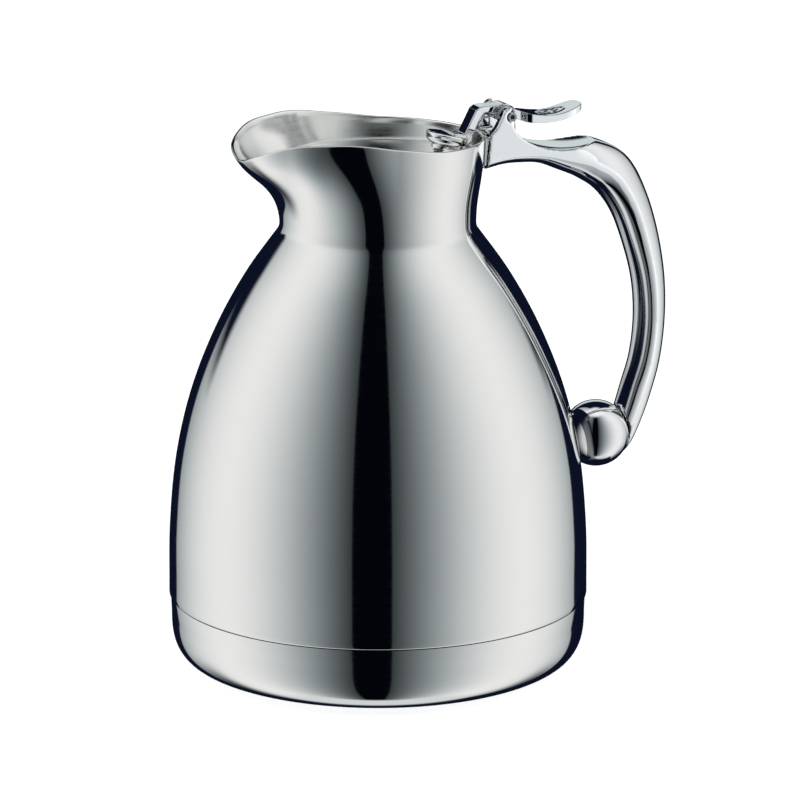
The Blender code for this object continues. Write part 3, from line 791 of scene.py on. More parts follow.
@dataclass
class BaseCup:
    """Spun cup under the seam, with its insert, the flask's cushion and the foot pad."""

    top: float = 21.6
    flat_radius: float = 50.9
    wall_radius: float = 64.9
    corner_top: float = 16.3
    bottom: float = 0.4
    power: float = 2.95
    wall: float = 0.8
    hole: float = 46.0
    foot_radius: float = 45.4
    foot_height: float = 1.6

    def corner(self, inset: float, steps: int = 36) -> list[Flat]:
        """Points down the rounded corner, from the wall to the flat underside."""
        points = []
        reach = self.wall_radius - self.flat_radius - inset
        rise = self.corner_top - self.bottom - inset
        for step in range(steps + 1):
            turn = math.radians(90) * (1 - step / steps)
            across = math.sin(turn) ** (2 / self.power) if turn > 0 else 0.0
            up = 1 - (math.cos(turn) ** (2 / self.power) if step else 0.0)
            points.append((self.flat_radius + reach * across, self.bottom + inset + rise * up))
        return points

    def build(self) -> None:
        """Makes the four pieces of the base."""
        edge = self.wall_radius + 0.2
        outer = [(edge - 0.25, self.top), (edge - 0.06, self.top - 0.08), (edge, self.top - 0.3)]
        outer += self.corner(0.0)
        inner = list(reversed(self.corner(self.wall)))
        profile = outer + [(self.hole, self.bottom), (self.hole, self.bottom + self.wall)] + inner
        profile += [(edge - self.wall, self.top)]
        install(turned("spun_cup", profile, 256), MIRROR_STEEL, Body.JUG, "base_cup")
        insert = [(62.8, 30.0), (62.8, 16.0), (60.4, 6.5), (56.0, 3.0), (52.0, 2.0), (0.0, 2.0)]
        insert += [(0.0, 3.9), (51.4, 3.9), (55.0, 4.8), (58.9, 7.6), (61.2, 16.2), (61.2, 30.0)]
        install(turned("threaded_insert", rounded(insert, 3.0)), MOULDED_PP, Body.JUG, "base_insert")
        ring = [(40.0, 16.6), (42.0, 15.0), (42.0, 4.2), (30.0, 4.2), (30.0, 16.6)]
        install(turned("cushion_ring", rounded(ring, 1.2)), SILICONE, Body.JUG, "flask_cushion")
        self.build_foot()

    def build_foot(self) -> None:
        """Makes the foot pad, a disc with moulded studs that carry the jug."""
        stud = 0.4
        disc = [(0.0, self.foot_height), (self.foot_radius, self.foot_height), (self.foot_radius, 0.0)]
        disc += [(self.foot_radius - 2.0, 0.0), (self.foot_radius - 2.6, stud), (0.0, stud)]
        host = turned("foot_disc", rounded(disc, 0.3, 3))
        values = {
            "Pitch": 3.6 * MM, "Reach": (self.foot_radius - 5.0) * MM, "Stud radius": 0.9 * MM,
            "Stud height": (stud + 0.1) * MM, "Finish": RUBBER.material(),
        }
        install(grown("studded_foot", host, stud_tree(), values), RUBBER, Body.JUG, "foot_pad")


@dataclass
class Flask:
    """Double-walled steel flask: jacket, liner, pumping cap and mouth seal."""

    shell: PouringShell
    jacket_inset: float = 5.0
    liner_inset: float = 12.0
    wall: float = 0.7
    jacket_floor: float = 17.0
    liner_floor: float = 27.0
    top: float = 148.1
    jacket_neck: float = 28.9
    liner_neck: float = 26.4

    def side(self, inset: float, neck: float, floor: float, corner: float) -> list[Flat]:
        """The outer side of a wall, from its neck down to its floor at the axis."""
        path = [(neck, self.top), (neck, 139.0)]
        for height in range(128, 58, -4):
            radius = self.shell.bell_radius(height) - inset
            if radius > neck + 0.4:
                path.append((radius, float(height)))
        reach = self.shell.bell_radius(40.0) - inset
        for step in range(17):
            turn = math.radians(90 * step / 16)
            path.append((reach - corner * (1 - math.cos(turn)), floor + corner * (1 - math.sin(turn))))
        return path + [(0.0, floor)]

    def build(self) -> None:
        """Makes the flask's four pieces."""
        outside = self.side(self.jacket_inset, self.jacket_neck, self.jacket_floor, 16.0)
        inside = self.side(
            self.jacket_inset + self.wall, self.jacket_neck - self.wall, self.jacket_floor + self.wall, 15.5
        )
        jacket = turned("flask_outer_wall", outside + list(reversed(inside)), 96)
        install(jacket, DRAWN_STEEL, Body.JUG, "flask_jacket")
        low, high = self.top + GAP, self.top + GAP + self.wall
        outside = self.side(self.liner_inset, self.liner_neck, self.liner_floor, 14.0)[1:]
        inside = self.side(
            self.liner_inset + self.wall, self.liner_neck - self.wall, self.liner_floor + self.wall, 13.5
        )
        lip = [(self.jacket_neck, high), (self.jacket_neck, low), (self.liner_neck, low)]
        inner = list(reversed(inside))[:-1] + [(self.liner_neck - self.wall, high)]
        liner = turned("flask_inner_wall", lip + outside + inner, 128)
        install(liner, DRAWN_STEEL, Body.JUG, "flask_liner")
        cap = [(0.0, 16.7), (8.0, 16.7), (8.0, 14.6), (6.0, 13.6), (0.0, 13.6)]
        install(turned("pumping_cap", rounded(cap, 0.5), 64), DRAWN_STEEL, Body.JUG, "evacuation_cap")
        base = high + GAP
        ring = [(29.6, base + 2.2), (29.8, base + 0.6), (29.4, base), (26.2, base), (26.2, base + 2.2)]
        install(turned("mouth_ring", rounded(ring, 0.4)), SILICONE, Body.JUG, "mouth_seal")


@dataclass
class Handle:
    """Cast handle with hinge ears and a thumb hollow, and what fastens it to the shell."""

    # Centre line, thickness across it, width along Y, squareness of the outer and of the inner half,
    # how much narrower the outer side is, and how flat the crest along that side is.
    rows: list[Row] = field(default_factory=lambda: [
        (27.0, 157.6, 10.0, 18.8, 6.0, 2.2, 0.00, 0.00),
        (33.5, 159.3, 9.7, 18.8, 6.0, 2.2, 0.00, 0.00),
        (39.5, 160.2, 9.2, 18.8, 6.0, 2.2, 0.00, 0.00),
        (46.0, 160.3, 9.2, 18.7, 6.0, 2.2, 0.00, 0.00),
        (53.0, 159.4, 8.8, 18.5, 5.0, 2.2, 0.00, 0.00),
        (61.0, 157.5, 11.0, 18.2, 4.5, 2.2, 0.00, 0.00),
        (69.8, 154.9, 13.6, 17.8, 3.4, 2.2, 0.22, 0.01),
        (77.9, 149.9, 14.6, 16.8, 2.8, 2.2, 0.50, 0.03),
        (84.1, 140.2, 12.8, 15.6, 2.5, 2.2, 0.45, 0.035),
        (88.4, 128.0, 11.6, 14.6, 2.4, 2.2, 0.38, 0.02),
        (91.2, 115.0, 10.3, 14.0, 2.3, 2.2, 0.32, 0.01),
        (91.8, 102.0, 9.5, 13.6, 2.3, 2.2, 0.28, 0.00),
        (90.4, 89.5, 9.4, 13.0, 2.3, 2.2, 0.25, 0.00),
        (87.4, 79.0, 9.6, 12.4, 2.3, 2.3, 0.20, 0.00),
        (84.6, 71.0, 9.0, 11.8, 2.3, 2.3, 0.10, 0.00),
        (82.0, 64.5, 7.8, 11.0, 2.3, 2.3, 0.00, 0.00),
        (80.2, 60.6, 6.0, 9.0, 2.3, 2.3, 0.00, 0.00),
    ])
    sides: int = 96
    head_half_width: float = 8.95
    ear_inner: float = 5.6
    ear_radius: float = 3.2
    ball: Spot = (73.8, 0.0, 65.8)
    ball_radius: float = 10.6
    bolt_radius: float = 2.0
    screw_side: float = 5.0
    screw_height: float = 158.5
    screw_radius: float = 1.2

    def rings(self) -> list[list[Vector]]:
        """Rounded sections square to the centre line."""
        path = smooth_rows(self.rows, 9)
        rings = []
        for i, (x, z, thick, width, outer, inner, taper, crest) in enumerate(path):
            ahead, behind = path[min(i + 1, len(path) - 1)], path[max(i - 1, 0)]
            along = Vector((ahead[0] - behind[0], ahead[1] - behind[1])).normalized()
            outward = Vector((-along.y, along.x))
            ring = []
            for step in range(self.sides):
                turn = 2 * math.pi * step / self.sides
                power = outer if math.cos(turn) > 0 else inner
                out = math.copysign(abs(math.cos(turn)) ** (2 / power), math.cos(turn))
                side = math.copysign(abs(math.sin(turn)) ** (2 / power), math.sin(turn))
                side *= 1 - taper * max(out, 0.0)
                spot = Vector((x, z)) + outward * (min(out, 1 - max(crest, 0.0)) * thick / 2)
                reach = min(abs(side) * width / 2, self.head_half_width)
                ring.append(Vector((spot.x, math.copysign(reach, side), spot.y)))
            rings.append(ring)
        return rings

    def head_outline(self) -> list[Flat]:
        """Side outline of the head and its ears."""
        head = [(30.0, 157.8), (37.3, 159.3), (44.0, 159.6), (51.0, 159.2), (52.5, 160.2), (51.5, 162.9)]
        head += [(48.5, 163.9), (46.2, 165.2), (44.9, 166.6), (44.2, 168.4)]
        head += arc((HINGE_PIN.across, HINGE_PIN.height), self.ear_radius, 0, 165, 24)
        return head + [(37.0, 170.4), (36.0, 168.3), (33.8, 166.1), (30.0, 165.6)]

    def build_casting(self) -> None:
        """Makes the handle from its grip and head, with every hollow and hole cut."""
        pin = (HINGE_PIN.across, 0.0, HINGE_PIN.height)
        tools = [
            (Work.ADD, plate("head", self.head_outline(), self.head_half_width)),
            (Work.CUT, block("slot", (28.0, -self.ear_inner, 163.0), (46.6, self.ear_inner, 180.0))),
            (Work.CUT, drum("seat", (0.0, 0.0, 160.0), "Z", 20.0, 33.5, 35.3, sides=256)),
            (Work.CUT, ellipsoid("thumb", (59.5, 0.0, 172.2), (20.0, 26.0, 13.0), 96)),
            (Work.CUT, drum("bore", pin, "Y", 30.0, HINGE_PIN.bore)),
            (Work.CUT, ellipsoid("cup", self.ball, [self.ball_radius + GAP] * 3, 64)),
            (Work.CUT, drum("tap", (81.4, 0.0, self.ball[2]), "X", 9.0, self.bolt_radius + GAP)),
        ]
        for side in (-1, 1):
            place = (36.0, side * self.screw_side, self.screw_height)
            tools.append((Work.CUT, drum(f"tap_{side}", place, "X", 12.0, self.screw_radius + GAP)))
        grip = lofted("grip", self.rings())
        install(worked("cast_handle", grip, tools, 0.34, 8), CHROME_PLATE, Body.JUG, "handle")

    def build_ball(self) -> None:
        """Makes the bored stand-off ball, its washer and the screw through it."""
        bore = self.bolt_radius + GAP
        start = math.degrees(math.asin(bore / self.ball_radius))
        profile = [(abs(z), x) for x, z in arc((0.0, 0.0), self.ball_radius, 180 - start, start, 72)]
        ball = turned("standoff_ball", profile, 128, "X", self.ball)
        install(ball, CHROME_PLATE, Body.JUG, "handle_ball")
        ring = rounded([(bore, -0.25), (3.6, -0.25), (3.6, 0.25), (bore, 0.25)], 0.12)
        washer = turned("standoff_washer", ring, 64, "X", (60.85, 0.0, self.ball[2]))
        install(washer, BARE_STEEL, Body.JUG, "ball_washer")
        bolt = Screw("standoff_bolt", "X", (58.9, 0.0, self.ball[2]), self.bolt_radius, 26.6, 3.3, 1.4)
        install(bolt.build(), BARE_STEEL, Body.JUG, "ball_screw")

    def build_fasteners(self) -> None:
        """Makes the two screws through the neck."""
        for number, side in ((1, -1), (2, 1)):
            place = (29.65, side * self.screw_side, self.screw_height)
            screw = Screw(f"neck_screw_{number}", "X", place, self.screw_radius, 11.2, 2.2, 0.9)
            install(screw.build(), BARE_STEEL, Body.JUG, f"handle_screw_{number}")

    def build_bracket(self) -> None:
        """Makes the curved plate on the neck, with its lug between the ears."""
        band = [(34.5, 165.0), (33.7, 156.6), (33.0, 156.6), (33.35, 165.0)]
        tools = [
            (Work.KEEP, block("span", (28.0, -7.6, 150.0), (40.0, 7.6, 170.0))),
            (Work.ADD, block("lug", (33.9, -4.2, 163.5), (36.8, 4.2, 166.0))),
        ]
        for side in (-1, 1):
            place = (34.0, side * self.screw_side, self.screw_height)
            tools.append((Work.CUT, drum(f"clear_{side}", place, "X", 6.0, self.screw_radius + GAP)))
        bracket = worked("neck_tab", turned("band", band, 384), tools, 0.14, 4)
        install(bracket, MIRROR_STEEL, Body.JUG, "neck_bracket")

    def build(self) -> None:
        """Makes every piece of the handle."""
        self.build_casting()
        self.build_ball()
        self.build_fasteners()
        self.build_bracket()


@dataclass
class Screw:
    """A turned screw with a cross recess, its head at its lower end along the axis."""

    name: str
    axis: str
    start: Spot
    radius: float
    length: float
    head_radius: float
    head_height: float
    pitch: float = 0.5

    def build(self) -> Piece:
        """Makes the screw, with its thread as ridges on the last half."""
        root = self.radius - 0.22
        profile = [(0.0, 0.0), (self.head_radius - 0.3, 0.0), (self.head_radius, 0.3)]
        profile += [(self.head_radius, self.head_height), (self.radius, self.head_height)]
        along = self.length * 0.5
        while along < self.length - self.pitch:
            profile += [(self.radius, along), (root, along + self.pitch / 2)]
            along += self.pitch
        profile += [(root, self.length - 0.3), (root - 0.3, self.length), (0.0, self.length)]
        blank = turned("blank", profile, 48, self.axis, self.start)
        arm, depth, half = self.head_radius * 0.6, self.head_height * 0.7, self.head_radius * 0.11
        tools = []
        for number, spans in enumerate(((arm, half), (half, arm))):
            low, high = self.recess_corners(spans, depth)
            tools.append((Work.CUT, block(f"recess_{number}", low, high)))
        return worked(self.name, blank, tools)

    def recess_corners(self, spans: Flat, depth: float) -> tuple[Vector, Vector]:
        """Opposite corners of one bar of the cross."""
        start = Vector(self.start)
        if self.axis == "X":
            reach = Vector((0.0, *spans))
            return start - reach - Vector((1.0, 0.0, 0.0)), start + reach + Vector((depth, 0.0, 0.0))
        reach = Vector((*spans, 0.0))
        return start - reach - Vector((0.0, 0.0, 1.0)), start + reach + Vector((0.0, 0.0, depth))


@dataclass
class Hinge:
    """The pin with its drilled ends, and the torsion spring round it."""

    wire: float = 0.35
    coil: float = 2.35
    coil_start: float = -5.0
    rise: float = 0.85
    turns: float = 3.5

    def spring_path(self) -> list[Vector]:
        """From the leg that rests on the handle, round the pin, to the leg under the arm."""
        x, z = HINGE_PIN.across, HINGE_PIN.height
        points = [Vector((x + self.coil, self.coil_start, 164.4))]
        steps = int(28 * self.turns)
        for i in range(steps + 1):
            turn = 2 * math.pi * i / 28
            along = self.coil_start + self.rise * i / 28
            points.append(Vector((x + self.coil * math.cos(turn), along, z - self.coil * math.sin(turn))))
        last = self.coil_start + self.rise * self.turns
        points.append(Vector((x - self.coil - 0.1, last, z + 0.1)))
        points.append(Vector((x - 6.3, last, z - 0.9)))
        return points

    def build(self) -> None:
        """Makes the pin and the spring."""
        end, drill, radius = HINGE_PIN.half_length, 0.65, HINGE_PIN.radius
        half = [(0.0, end - 4.0), (drill, end - 3.4), (drill, end - 0.15), (drill + 0.15, end)]
        half += [(radius - 0.2, end), (radius, end - 0.2)]
        profile = half + [(r, -along) for r, along in reversed(half)]
        pin = turned("drilled_pin", profile, 64, "Y", (HINGE_PIN.across, 0.0, HINGE_PIN.height))
        install(pin, BARE_STEEL, Body.JUG, "hinge_pin")
        curve = bpy.data.curves.new("spring_path", "CURVE")
        curve.dimensions = "3D"
        points = self.spring_path()
        spline = curve.splines.new("POLY")
        spline.points.add(len(points) - 1)
        for spot, point in zip(spline.points, points):
            spot.co = (*(point * MM), 1.0)
        host = bpy.data.objects.new("spring_path", curve)
        bpy.context.scene.collection.objects.link(host)
        values = {"Wire radius": self.wire * MM, "Sides": 16, "Finish": BARE_STEEL.material()}
        spring = grown("torsion_spring", host, wire_tree(), values)
        install(spring, BARE_STEEL, Body.JUG, "hinge_spring")


@dataclass
class Lid:
    """Lever casting, domed cover, insulated core, seal and the screw through them."""

    cover_radius: float = 29.0
    stud: float = 20.0
    stud_radius: float = 1.5
    paddle_half_width: float = 5.7
    paddle_tip: float = 66.8
    paddle_round: float = 60.0
    pad: float = 22.4
    pad_radius: float = 6.5
    pad_tilt: float = 0.21
    arm_half_width: float = 3.0
    badge: float = 57.2
    badge_radii: Flat = (4.3, 3.1)

    def paddle_side(self) -> list[Flat]:
        """Side outline of the thumb paddle, its upper edge first."""
        top = [(42.0, 173.7), (46.0, 172.0), (51.0, 170.9), (56.0, 170.6), (60.5, 171.3), (67.0, 173.4)]
        low = [(67.6, 171.8), (61.0, 169.1), (56.0, 168.3), (51.0, 168.3), (46.5, 168.9), (42.0, 170.6)]
        return smooth_rows(top, 10) + smooth_rows(low, 10)

    def paddle_plan(self) -> list[Flat]:
        """The paddle from above: a narrow neck, then a blunt rounded plate."""
        half = self.paddle_half_width
        reach = self.paddle_tip - self.paddle_round
        near = [(42.0, 2.7), (46.4, 2.7), (47.4, 5.0), (49.0, half)]
        for step in range(25):
            turn = math.radians(90 * step / 24)
            across = half * math.cos(turn) ** 0.6 if step < 24 else 0.0
            near.append((self.paddle_round + reach * math.sin(turn) ** 0.8, across))
        return near + [(x, -y) for x, y in reversed(near[:-1])]

    def arm_outline(self) -> list[Flat]:
        """Side outline of the arm that reaches over the rim to the pad."""
        arm = [(44.0, 173.4), (42.0, 174.3), (34.0, 174.3), (32.6, 174.1), (31.3, 173.2), (27.6, 166.0)]
        arm += [(24.0, 166.2), (24.0, 162.1), (28.6, 162.1), (29.9, 163.4), (30.2, 165.4), (32.9, 170.9)]
        return arm + [(34.2, 172.2), (44.0, 171.6)]

    def build_lever(self) -> None:
        """Makes the lever casting, then raises its badge."""
        pin_x, pin_z = HINGE_PIN.across, HINGE_PIN.height
        bowl = [(0.0, 1.8), (self.pad_radius - 0.4, 1.8), (self.pad_radius, 1.4), (self.pad_radius, 0.7)]
        for step in range(1, 13):
            turn = math.radians(90 * step / 12)
            bowl.append((3.6 + (self.pad_radius - 3.6) * math.cos(turn), 0.7 - 2.7 * math.sin(turn)))
        disc = turned("pad", bowl + [(0.0, -2.0)], 96)
        place = Matrix.Translation(Vector((self.pad, 0.0, 164.4)) * MM)
        disc.data.transform(place @ Matrix.Rotation(self.pad_tilt, 4, "Y"))
        tools = [
            (Work.KEEP, plate("plan", self.paddle_plan(), 10.0, upright=False)),
            (Work.ADD, drum("barrel", (pin_x, 1.9, pin_z), "Y", 6.8, 2.9)),
            (Work.ADD, plate("arm", self.arm_outline(), self.arm_half_width)),
            (Work.ADD, disc),
            (Work.ADD, drum("foot", (21.4, 0.0, 163.0), "Z", 2.0, 3.6)),
            (Work.CUT, drum("spring_room", (pin_x, -3.9, pin_z), "Y", 4.8, 3.1)),
            (Work.CUT, drum("bore", (pin_x, 0.0, pin_z), "Y", 30.0, HINGE_PIN.bore)),
            (Work.CUT, drum("tap", (self.stud, 0.0, 162.0), "Z", 5.2, self.stud_radius + GAP)),
        ]
        paddle = plate("paddle", self.paddle_side(), self.paddle_half_width)
        lever = worked("thumb_lever", paddle, tools, 0.16, 4)
        for vertex in lever.data.vertices:
            if vertex.normal.z > 0.7 and vertex.co.x > 0.05:
                vertex.co.z += self.badge_height(vertex.co.x / MM, vertex.co.y / MM) * MM
        install(lever, CHROME_PLATE, Body.LID, "lid_lever")

    def badge_height(self, x: float, y: float) -> float:
        """How far a plain rosette in an oval ring stands up at a point of the paddle."""
        across, along = (x - self.badge) / self.badge_radii[0], y / self.badge_radii[1]
        reach = math.hypot(across, along)
        ring = math.exp(-((reach - 1.0) / 0.10) ** 2)
        petals = 0.5 + 0.5 * math.cos(6 * math.atan2(along, across))
        flower = petals * math.exp(-((reach - 0.42) / 0.2) ** 2)
        return 0.26 * ring + 0.22 * flower

    def build_stack(self) -> None:
        """Makes what hangs under the lever: cover, core, seal, washer and screw."""
        radius, clear = self.cover_radius, self.stud_radius + GAP
        cover = [(0.0, 161.6), (12.0, 161.4), (22.0, 160.9), (27.6, 160.2), (28.7, 159.6), (radius, 158.6)]
        cover += [(radius, 156.4), (radius - 0.8, 156.4), (radius - 0.8, 158.5), (28.0, 159.0)]
        cover += [(27.2, 159.4), (22.0, 160.1), (12.0, 160.6), (0.0, 160.8)]
        dome = turned("dome", rounded(cover, 0.4), 192)
        hole = (Work.CUT, drum("cover_hole", (self.stud, 0.0, 155.0), "Z", 30.0, clear))
        install(worked("domed_cover", dome, [hole]), MIRROR_STEEL, Body.LID, "lid_cover")
        core = [(0.0, 158.8), (27.0, 158.8), (27.7, 158.2), (27.7, 153.9), (24.6, 153.9), (24.3, 150.5)]
        core += [(20.0, 144.4), (18.4, 143.0), (0.0, 143.0)]
        tools = [
            (Work.CUT, drum("core_hole", (self.stud, 0.0, 155.0), "Z", 30.0, clear)),
            (Work.CUT, drum("recess", (self.stud, 0.0, 144.3), "Z", 8.4, 2.9)),
        ]
        plug = worked("insulated_core", turned("plug", rounded(core, 0.8), 128), tools)
        install(plug, MOULDED_PP, Body.LID, "lid_core")
        seal = [(27.4, 153.6), (28.3, 152.9), (27.8, 152.0), (25.4, 152.0), (24.95, 152.6), (24.95, 153.6)]
        install(turned("lip_seal", rounded(seal, 0.3)), SILICONE, Body.LID, "lid_seal")
        ring = rounded([(clear, -0.25), (2.6, -0.25), (2.6, 0.25), (clear, 0.25)], 0.12)
        washer = turned("core_washer", ring, 48, "Z", (self.stud, 0.0, 147.9))
        install(washer, BARE_STEEL, Body.LID, "lid_washer")
        screw = Screw("core_screw", "Z", (self.stud, 0.0, 145.9), self.stud_radius, 18.2, 2.5, 1.4)
        install(screw.build(), BARE_STEEL, Body.LID, "lid_screw")

    def build(self) -> None:
        """Makes every piece of the lid."""
        self.build_lever()
        self.build_stack()


# ---------------------------------------------------------------- the studio


@dataclass(frozen=True)
class Camera:
    """A long lens that looks slightly down, from the lip's side of square on."""

    azimuth: float = 20.5
    elevation: float = 14.32
    distance: float = 1.5
    aim: Spot = (0.0, 0.0, 0.085)
    lens: float = 216.7
    shift: Flat = (0.0276, -0.0076)

    def build(self) -> None:
        """Puts the camera in place."""
        across, up = math.radians(self.azimuth), math.radians(self.elevation)
        back = Vector((-math.sin(across) * math.cos(up), -math.cos(across) * math.cos(up), math.sin(up)))
        data = bpy.data.cameras.new("long_lens")
        data.lens = self.lens
        data.shift_x, data.shift_y = self.shift
        camera = bpy.data.objects.new("long_lens", data)
        camera.location = Vector(self.aim) + back * self.distance
        camera.rotation_euler = back.to_track_quat("Z", "Y").to_euler()
        bpy.context.scene.collection.objects.link(camera)
        bpy.context.scene.camera = camera


@dataclass(frozen=True)
class Zone:
    """A part of the tent with its own tone, by how far a direction points behind, up or below.

    Each limit holds a measure's name, where the zone starts and where it is full.
    """

    tone: str
    limits: tuple[tuple[str, float, float], ...]

    def share(
        self, tree: Tree, measures: dict[str, Socket]
    ) -> Socket:
        """How much of the zone shows in a direction: the product of its limits' steps.

        Args:
            tree: The world's nodes.
            measures: The value of each measure, by its name.

        Returns:
            A value from 0 to 1.
        """
        first, *others = [soft_step(tree, measures[name], start, full) for name, start, full in self.limits]
        for other in others:
            first = calc(tree, "MULTIPLY", first, other)
        return first


@dataclass(frozen=True)
class Studio:
    """A light tent round the jug, as a world whose brightness follows the direction.

    The cloth is brightest at the jug's two sides. It is open in a slot in front, and a curtain hangs behind.
    """

    strength: float = 1.14
    bright_cloth: str = "#e6e6e5"
    dim_cloth: str = "#d3e2e7"
    falloff: float = 1.76
    # How far the front is turned from +X, and the slot's middle from the front, in degrees.
    front_turn: float = 110.5
    slot_middle: float = -3.15
    # In front the slot, behind the curtain and over it the window; then the roof, the table top and
    # the curtain's foot.
    zones: tuple[Zone, ...] = (
        Zone("#020409", (("off slot", 11.3, 10.3),)),
        Zone(CURTAIN_TONE, (("left", 145.5, 148.0),)),
        Zone(CURTAIN_TONE, (("right", 136.5, 138.5),)),
        Zone(CURTAIN_TONE, (("behind", 0.62, 0.72), ("up", -0.02, 0.1), ("up", 0.4, 0.25))),
        Zone("#c6cecd", (("behind", 0.84, 0.9), ("up", 0.14, 0.2))),
        Zone("#eeeeec", (("up", 0.9, 0.985),)),
        Zone("#ced2d3", (("below", 0.86, 0.95), ("behind", -0.3, -0.15))),
        Zone(CURTAIN_TONE, (("below", 0.4, 0.8), ("behind", 0.2, 0.55))),
    )

    def cloth(self, tree: Tree, off_slot: Socket) -> Socket:
        """The cloth's light, which grows with the sine of the angle from the slot's middle."""
        sine = calc(tree, "ABSOLUTE", calc(tree, "SINE", off_slot))
        share = calc(tree, "POWER", sine, self.falloff)
        tints = {0: share, 6: linear(self.dim_cloth), 7: linear(self.bright_cloth)}
        tint = add_node(tree, "ShaderNodeMix", {"data_type": "RGBA"}, tints).outputs[2]
        lit = add_node(tree, "ShaderNodeVectorMath", {"operation": "SCALE"}, {0: tint, "Scale": share})
        return lit.outputs["Vector"]

    def build(self) -> None:
        """Makes the world."""
        world = bpy.data.worlds.new("light_tent")
        world.use_nodes = True
        tree = world.node_tree
        tree.nodes.clear()
        look = add_node(tree, "ShaderNodeTexCoord").outputs["Generated"]
        turn = add_node(
            tree, "ShaderNodeVectorRotate", {"rotation_type": "Z_AXIS"},
            {"Vector": look, "Angle": math.radians(self.front_turn)},
        )
        split = add_node(tree, "ShaderNodeSeparateXYZ", None, {"Vector": turn.outputs["Vector"]})
        front, side, up = (split.outputs[name] for name in ("X", "Y", "Z"))
        angle = calc(tree, "ARCTAN2", side, front)
        off_slot = calc(tree, "SUBTRACT", angle, math.radians(self.slot_middle))
        degree = math.degrees(1.0)
        measures = {
            "off slot": calc(tree, "ABSOLUTE", calc(tree, "MULTIPLY", off_slot, degree)),
            "left": calc(tree, "MULTIPLY", angle, -degree),
            "right": calc(tree, "MULTIPLY", angle, degree),
            "behind": calc(tree, "MULTIPLY", front, -1.0),
            "up": up,
            "below": calc(tree, "MULTIPLY", up, -1.0),
        }
        tone = self.cloth(tree, off_slot)
        for zone in self.zones:
            inputs = {0: zone.share(tree, measures), 6: tone, 7: linear(zone.tone)}
            tone = add_node(tree, "ShaderNodeMix", {"data_type": "RGBA"}, inputs).outputs[2]
        tent = add_node(tree, "ShaderNodeBackground", None, {"Color": tone, "Strength": self.strength})
        white = add_node(tree, "ShaderNodeBackground", None, {"Color": (1.0, 1.0, 1.0, 1.0)})
        path = add_node(tree, "ShaderNodeLightPath")
        shown = add_node(
            tree, "ShaderNodeMixShader", None,
            {0: path.outputs["Is Camera Ray"], 1: tent.outputs[0], 2: white.outputs[0]},
        )
        add_node(tree, "ShaderNodeOutputWorld", None, {"Surface": shown.outputs[0]})
        bpy.context.scene.world = world
        bpy.context.scene.view_settings.view_transform = "Standard"

    def build_floor(self) -> None:
        """Makes the pale floor, which the polished pieces don't mirror."""
        material = bpy.data.materials.new("pale_floor")
        material.use_nodes = True
        shader = material.node_tree.nodes["Principled BSDF"]
        shader.inputs["Base Color"].default_value = linear("#f4f4f4")
        shader.inputs["Roughness"].default_value = 1.0
        shader.inputs["Specular IOR Level"].default_value = 0.0
        shader.inputs["Emission Color"].default_value = (1.0, 1.0, 1.0, 1.0)
        shader.inputs["Emission Strength"].default_value = 0.72
        half = 6.0
        mesh = bpy.data.meshes.new("pale_floor")
        corners = [(-half, -half, 0.0), (half, -half, 0.0), (half, half, 0.0), (-half, half, 0.0)]
        mesh.from_pydata(corners, [], [(0, 1, 2, 3)])
        mesh.materials.append(material)
        floor = bpy.data.objects.new("pale_floor", mesh)
        floor.visible_glossy = False
        bpy.context.scene.collection.objects.link(floor)


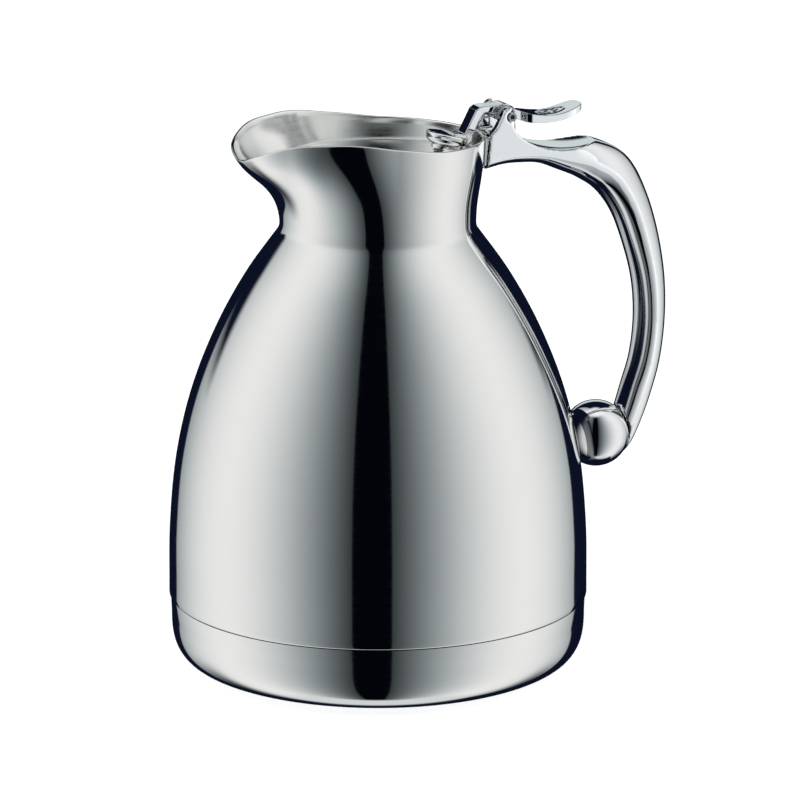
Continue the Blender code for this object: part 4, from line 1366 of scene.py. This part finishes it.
@dataclass(frozen=True)
class Cards:
    """A soft light that only the castings see, and a dark flag in the handle's opening."""

    # In metres.
    light_place: Spot = (0.17, -0.327, 0.085)
    light_size: Flat = (0.5, 0.3)
    light_aim: Spot = (0.05, -0.009, 0.165)
    light_power: float = 0.15
    # (X, height) points down the flag beside the bell, its two sides along Y, and its soft edge.
    flag: tuple[Flat, ...] = (
        (53.0, 112.0), (55.6, 106.0), (62.6, 86.5), (67.1, 66.0), (69.4, 44.0), (70.6, 20.0), (76.0, 3.0),
        (112.0, 3.0),
    )
    flag_sides: Flat = (-16.0, 40.0)
    fade: float = 12.0
    tone: str = CURTAIN_TONE

    def build_light(self, pieces: Sequence[Piece]) -> None:
        """Makes the light, which shows in these pieces only."""
        data = bpy.data.lights.new("soft_light", "AREA")
        data.shape = "RECTANGLE"
        data.size, data.size_y = self.light_size
        data.energy = self.light_power
        light = bpy.data.objects.new("soft_light", data)
        light.location = self.light_place
        back = Vector(self.light_place) - Vector(self.light_aim)
        light.rotation_euler = back.to_track_quat("Z", "Y").to_euler()
        light.visible_camera = False
        bpy.context.scene.collection.objects.link(light)
        lit = bpy.data.collections.new("lit_softly")
        for piece in pieces:
            lit.objects.link(piece)
        light.light_linking.receiver_collection = lit

    def build_flag(self) -> None:
        """Makes the flag, which only shows in the polished pieces."""
        material = bpy.data.materials.new("dark_flag")
        material.use_nodes = True
        tree = material.node_tree
        tree.nodes.clear()
        near, far = self.flag_sides
        place = add_node(tree, "ShaderNodeTexCoord").outputs["Object"]
        split = add_node(tree, "ShaderNodeSeparateXYZ", None, {"Vector": place})
        along, up = split.outputs["Y"], split.outputs["Z"]
        top = self.flag[0][1]
        share = soft_step(tree, along, near * MM, (near + self.fade) * MM)
        share = calc(tree, "MULTIPLY", share, soft_step(tree, along, far * MM, (far - self.fade) * MM))
        share = calc(tree, "MULTIPLY", share, soft_step(tree, up, top * MM, (top - 2 * self.fade) * MM))
        glow = add_node(tree, "ShaderNodeEmission", None, {"Color": linear(self.tone)})
        clear = add_node(tree, "ShaderNodeBsdfTransparent")
        mix = add_node(
            tree, "ShaderNodeMixShader", None, {0: share, 1: clear.outputs[0], 2: glow.outputs[0]}
        )
        add_node(tree, "ShaderNodeOutputMaterial", None, {"Surface": mix.outputs[0]})
        corners = [Vector((x, y, z)) * MM for x, z in smooth_rows(self.flag, 8) for y in (near, far)]
        faces = [(i, i + 1, i + 3, i + 2) for i in range(0, len(corners) - 2, 2)]
        mesh = bpy.data.meshes.new("dark_flag")
        mesh.from_pydata(corners, [], faces)
        mesh.materials.append(material)
        flag = bpy.data.objects.new("dark_flag", mesh)
        flag.visible_camera = flag.visible_diffuse = flag.visible_shadow = False
        bpy.context.scene.collection.objects.link(flag)


def main() -> None:
    """Loads the frame and builds the studio and every sub-assembly round it."""
    logging.basicConfig(level=logging.INFO, format="%(name)s: %(message)s")
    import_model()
    Camera().build()
    studio = Studio()
    studio.build()
    studio.build_floor()
    shell = PouringShell()
    for part in (shell, BaseCup(), Flask(shell), Handle(), Hinge(), Lid()):
        part.build()
    cards = Cards()
    cards.build_flag()
    cards.build_light([bpy.data.objects[name] for name in ("cast_handle", "thumb_lever")])


if __name__ == "__main__":
    main()
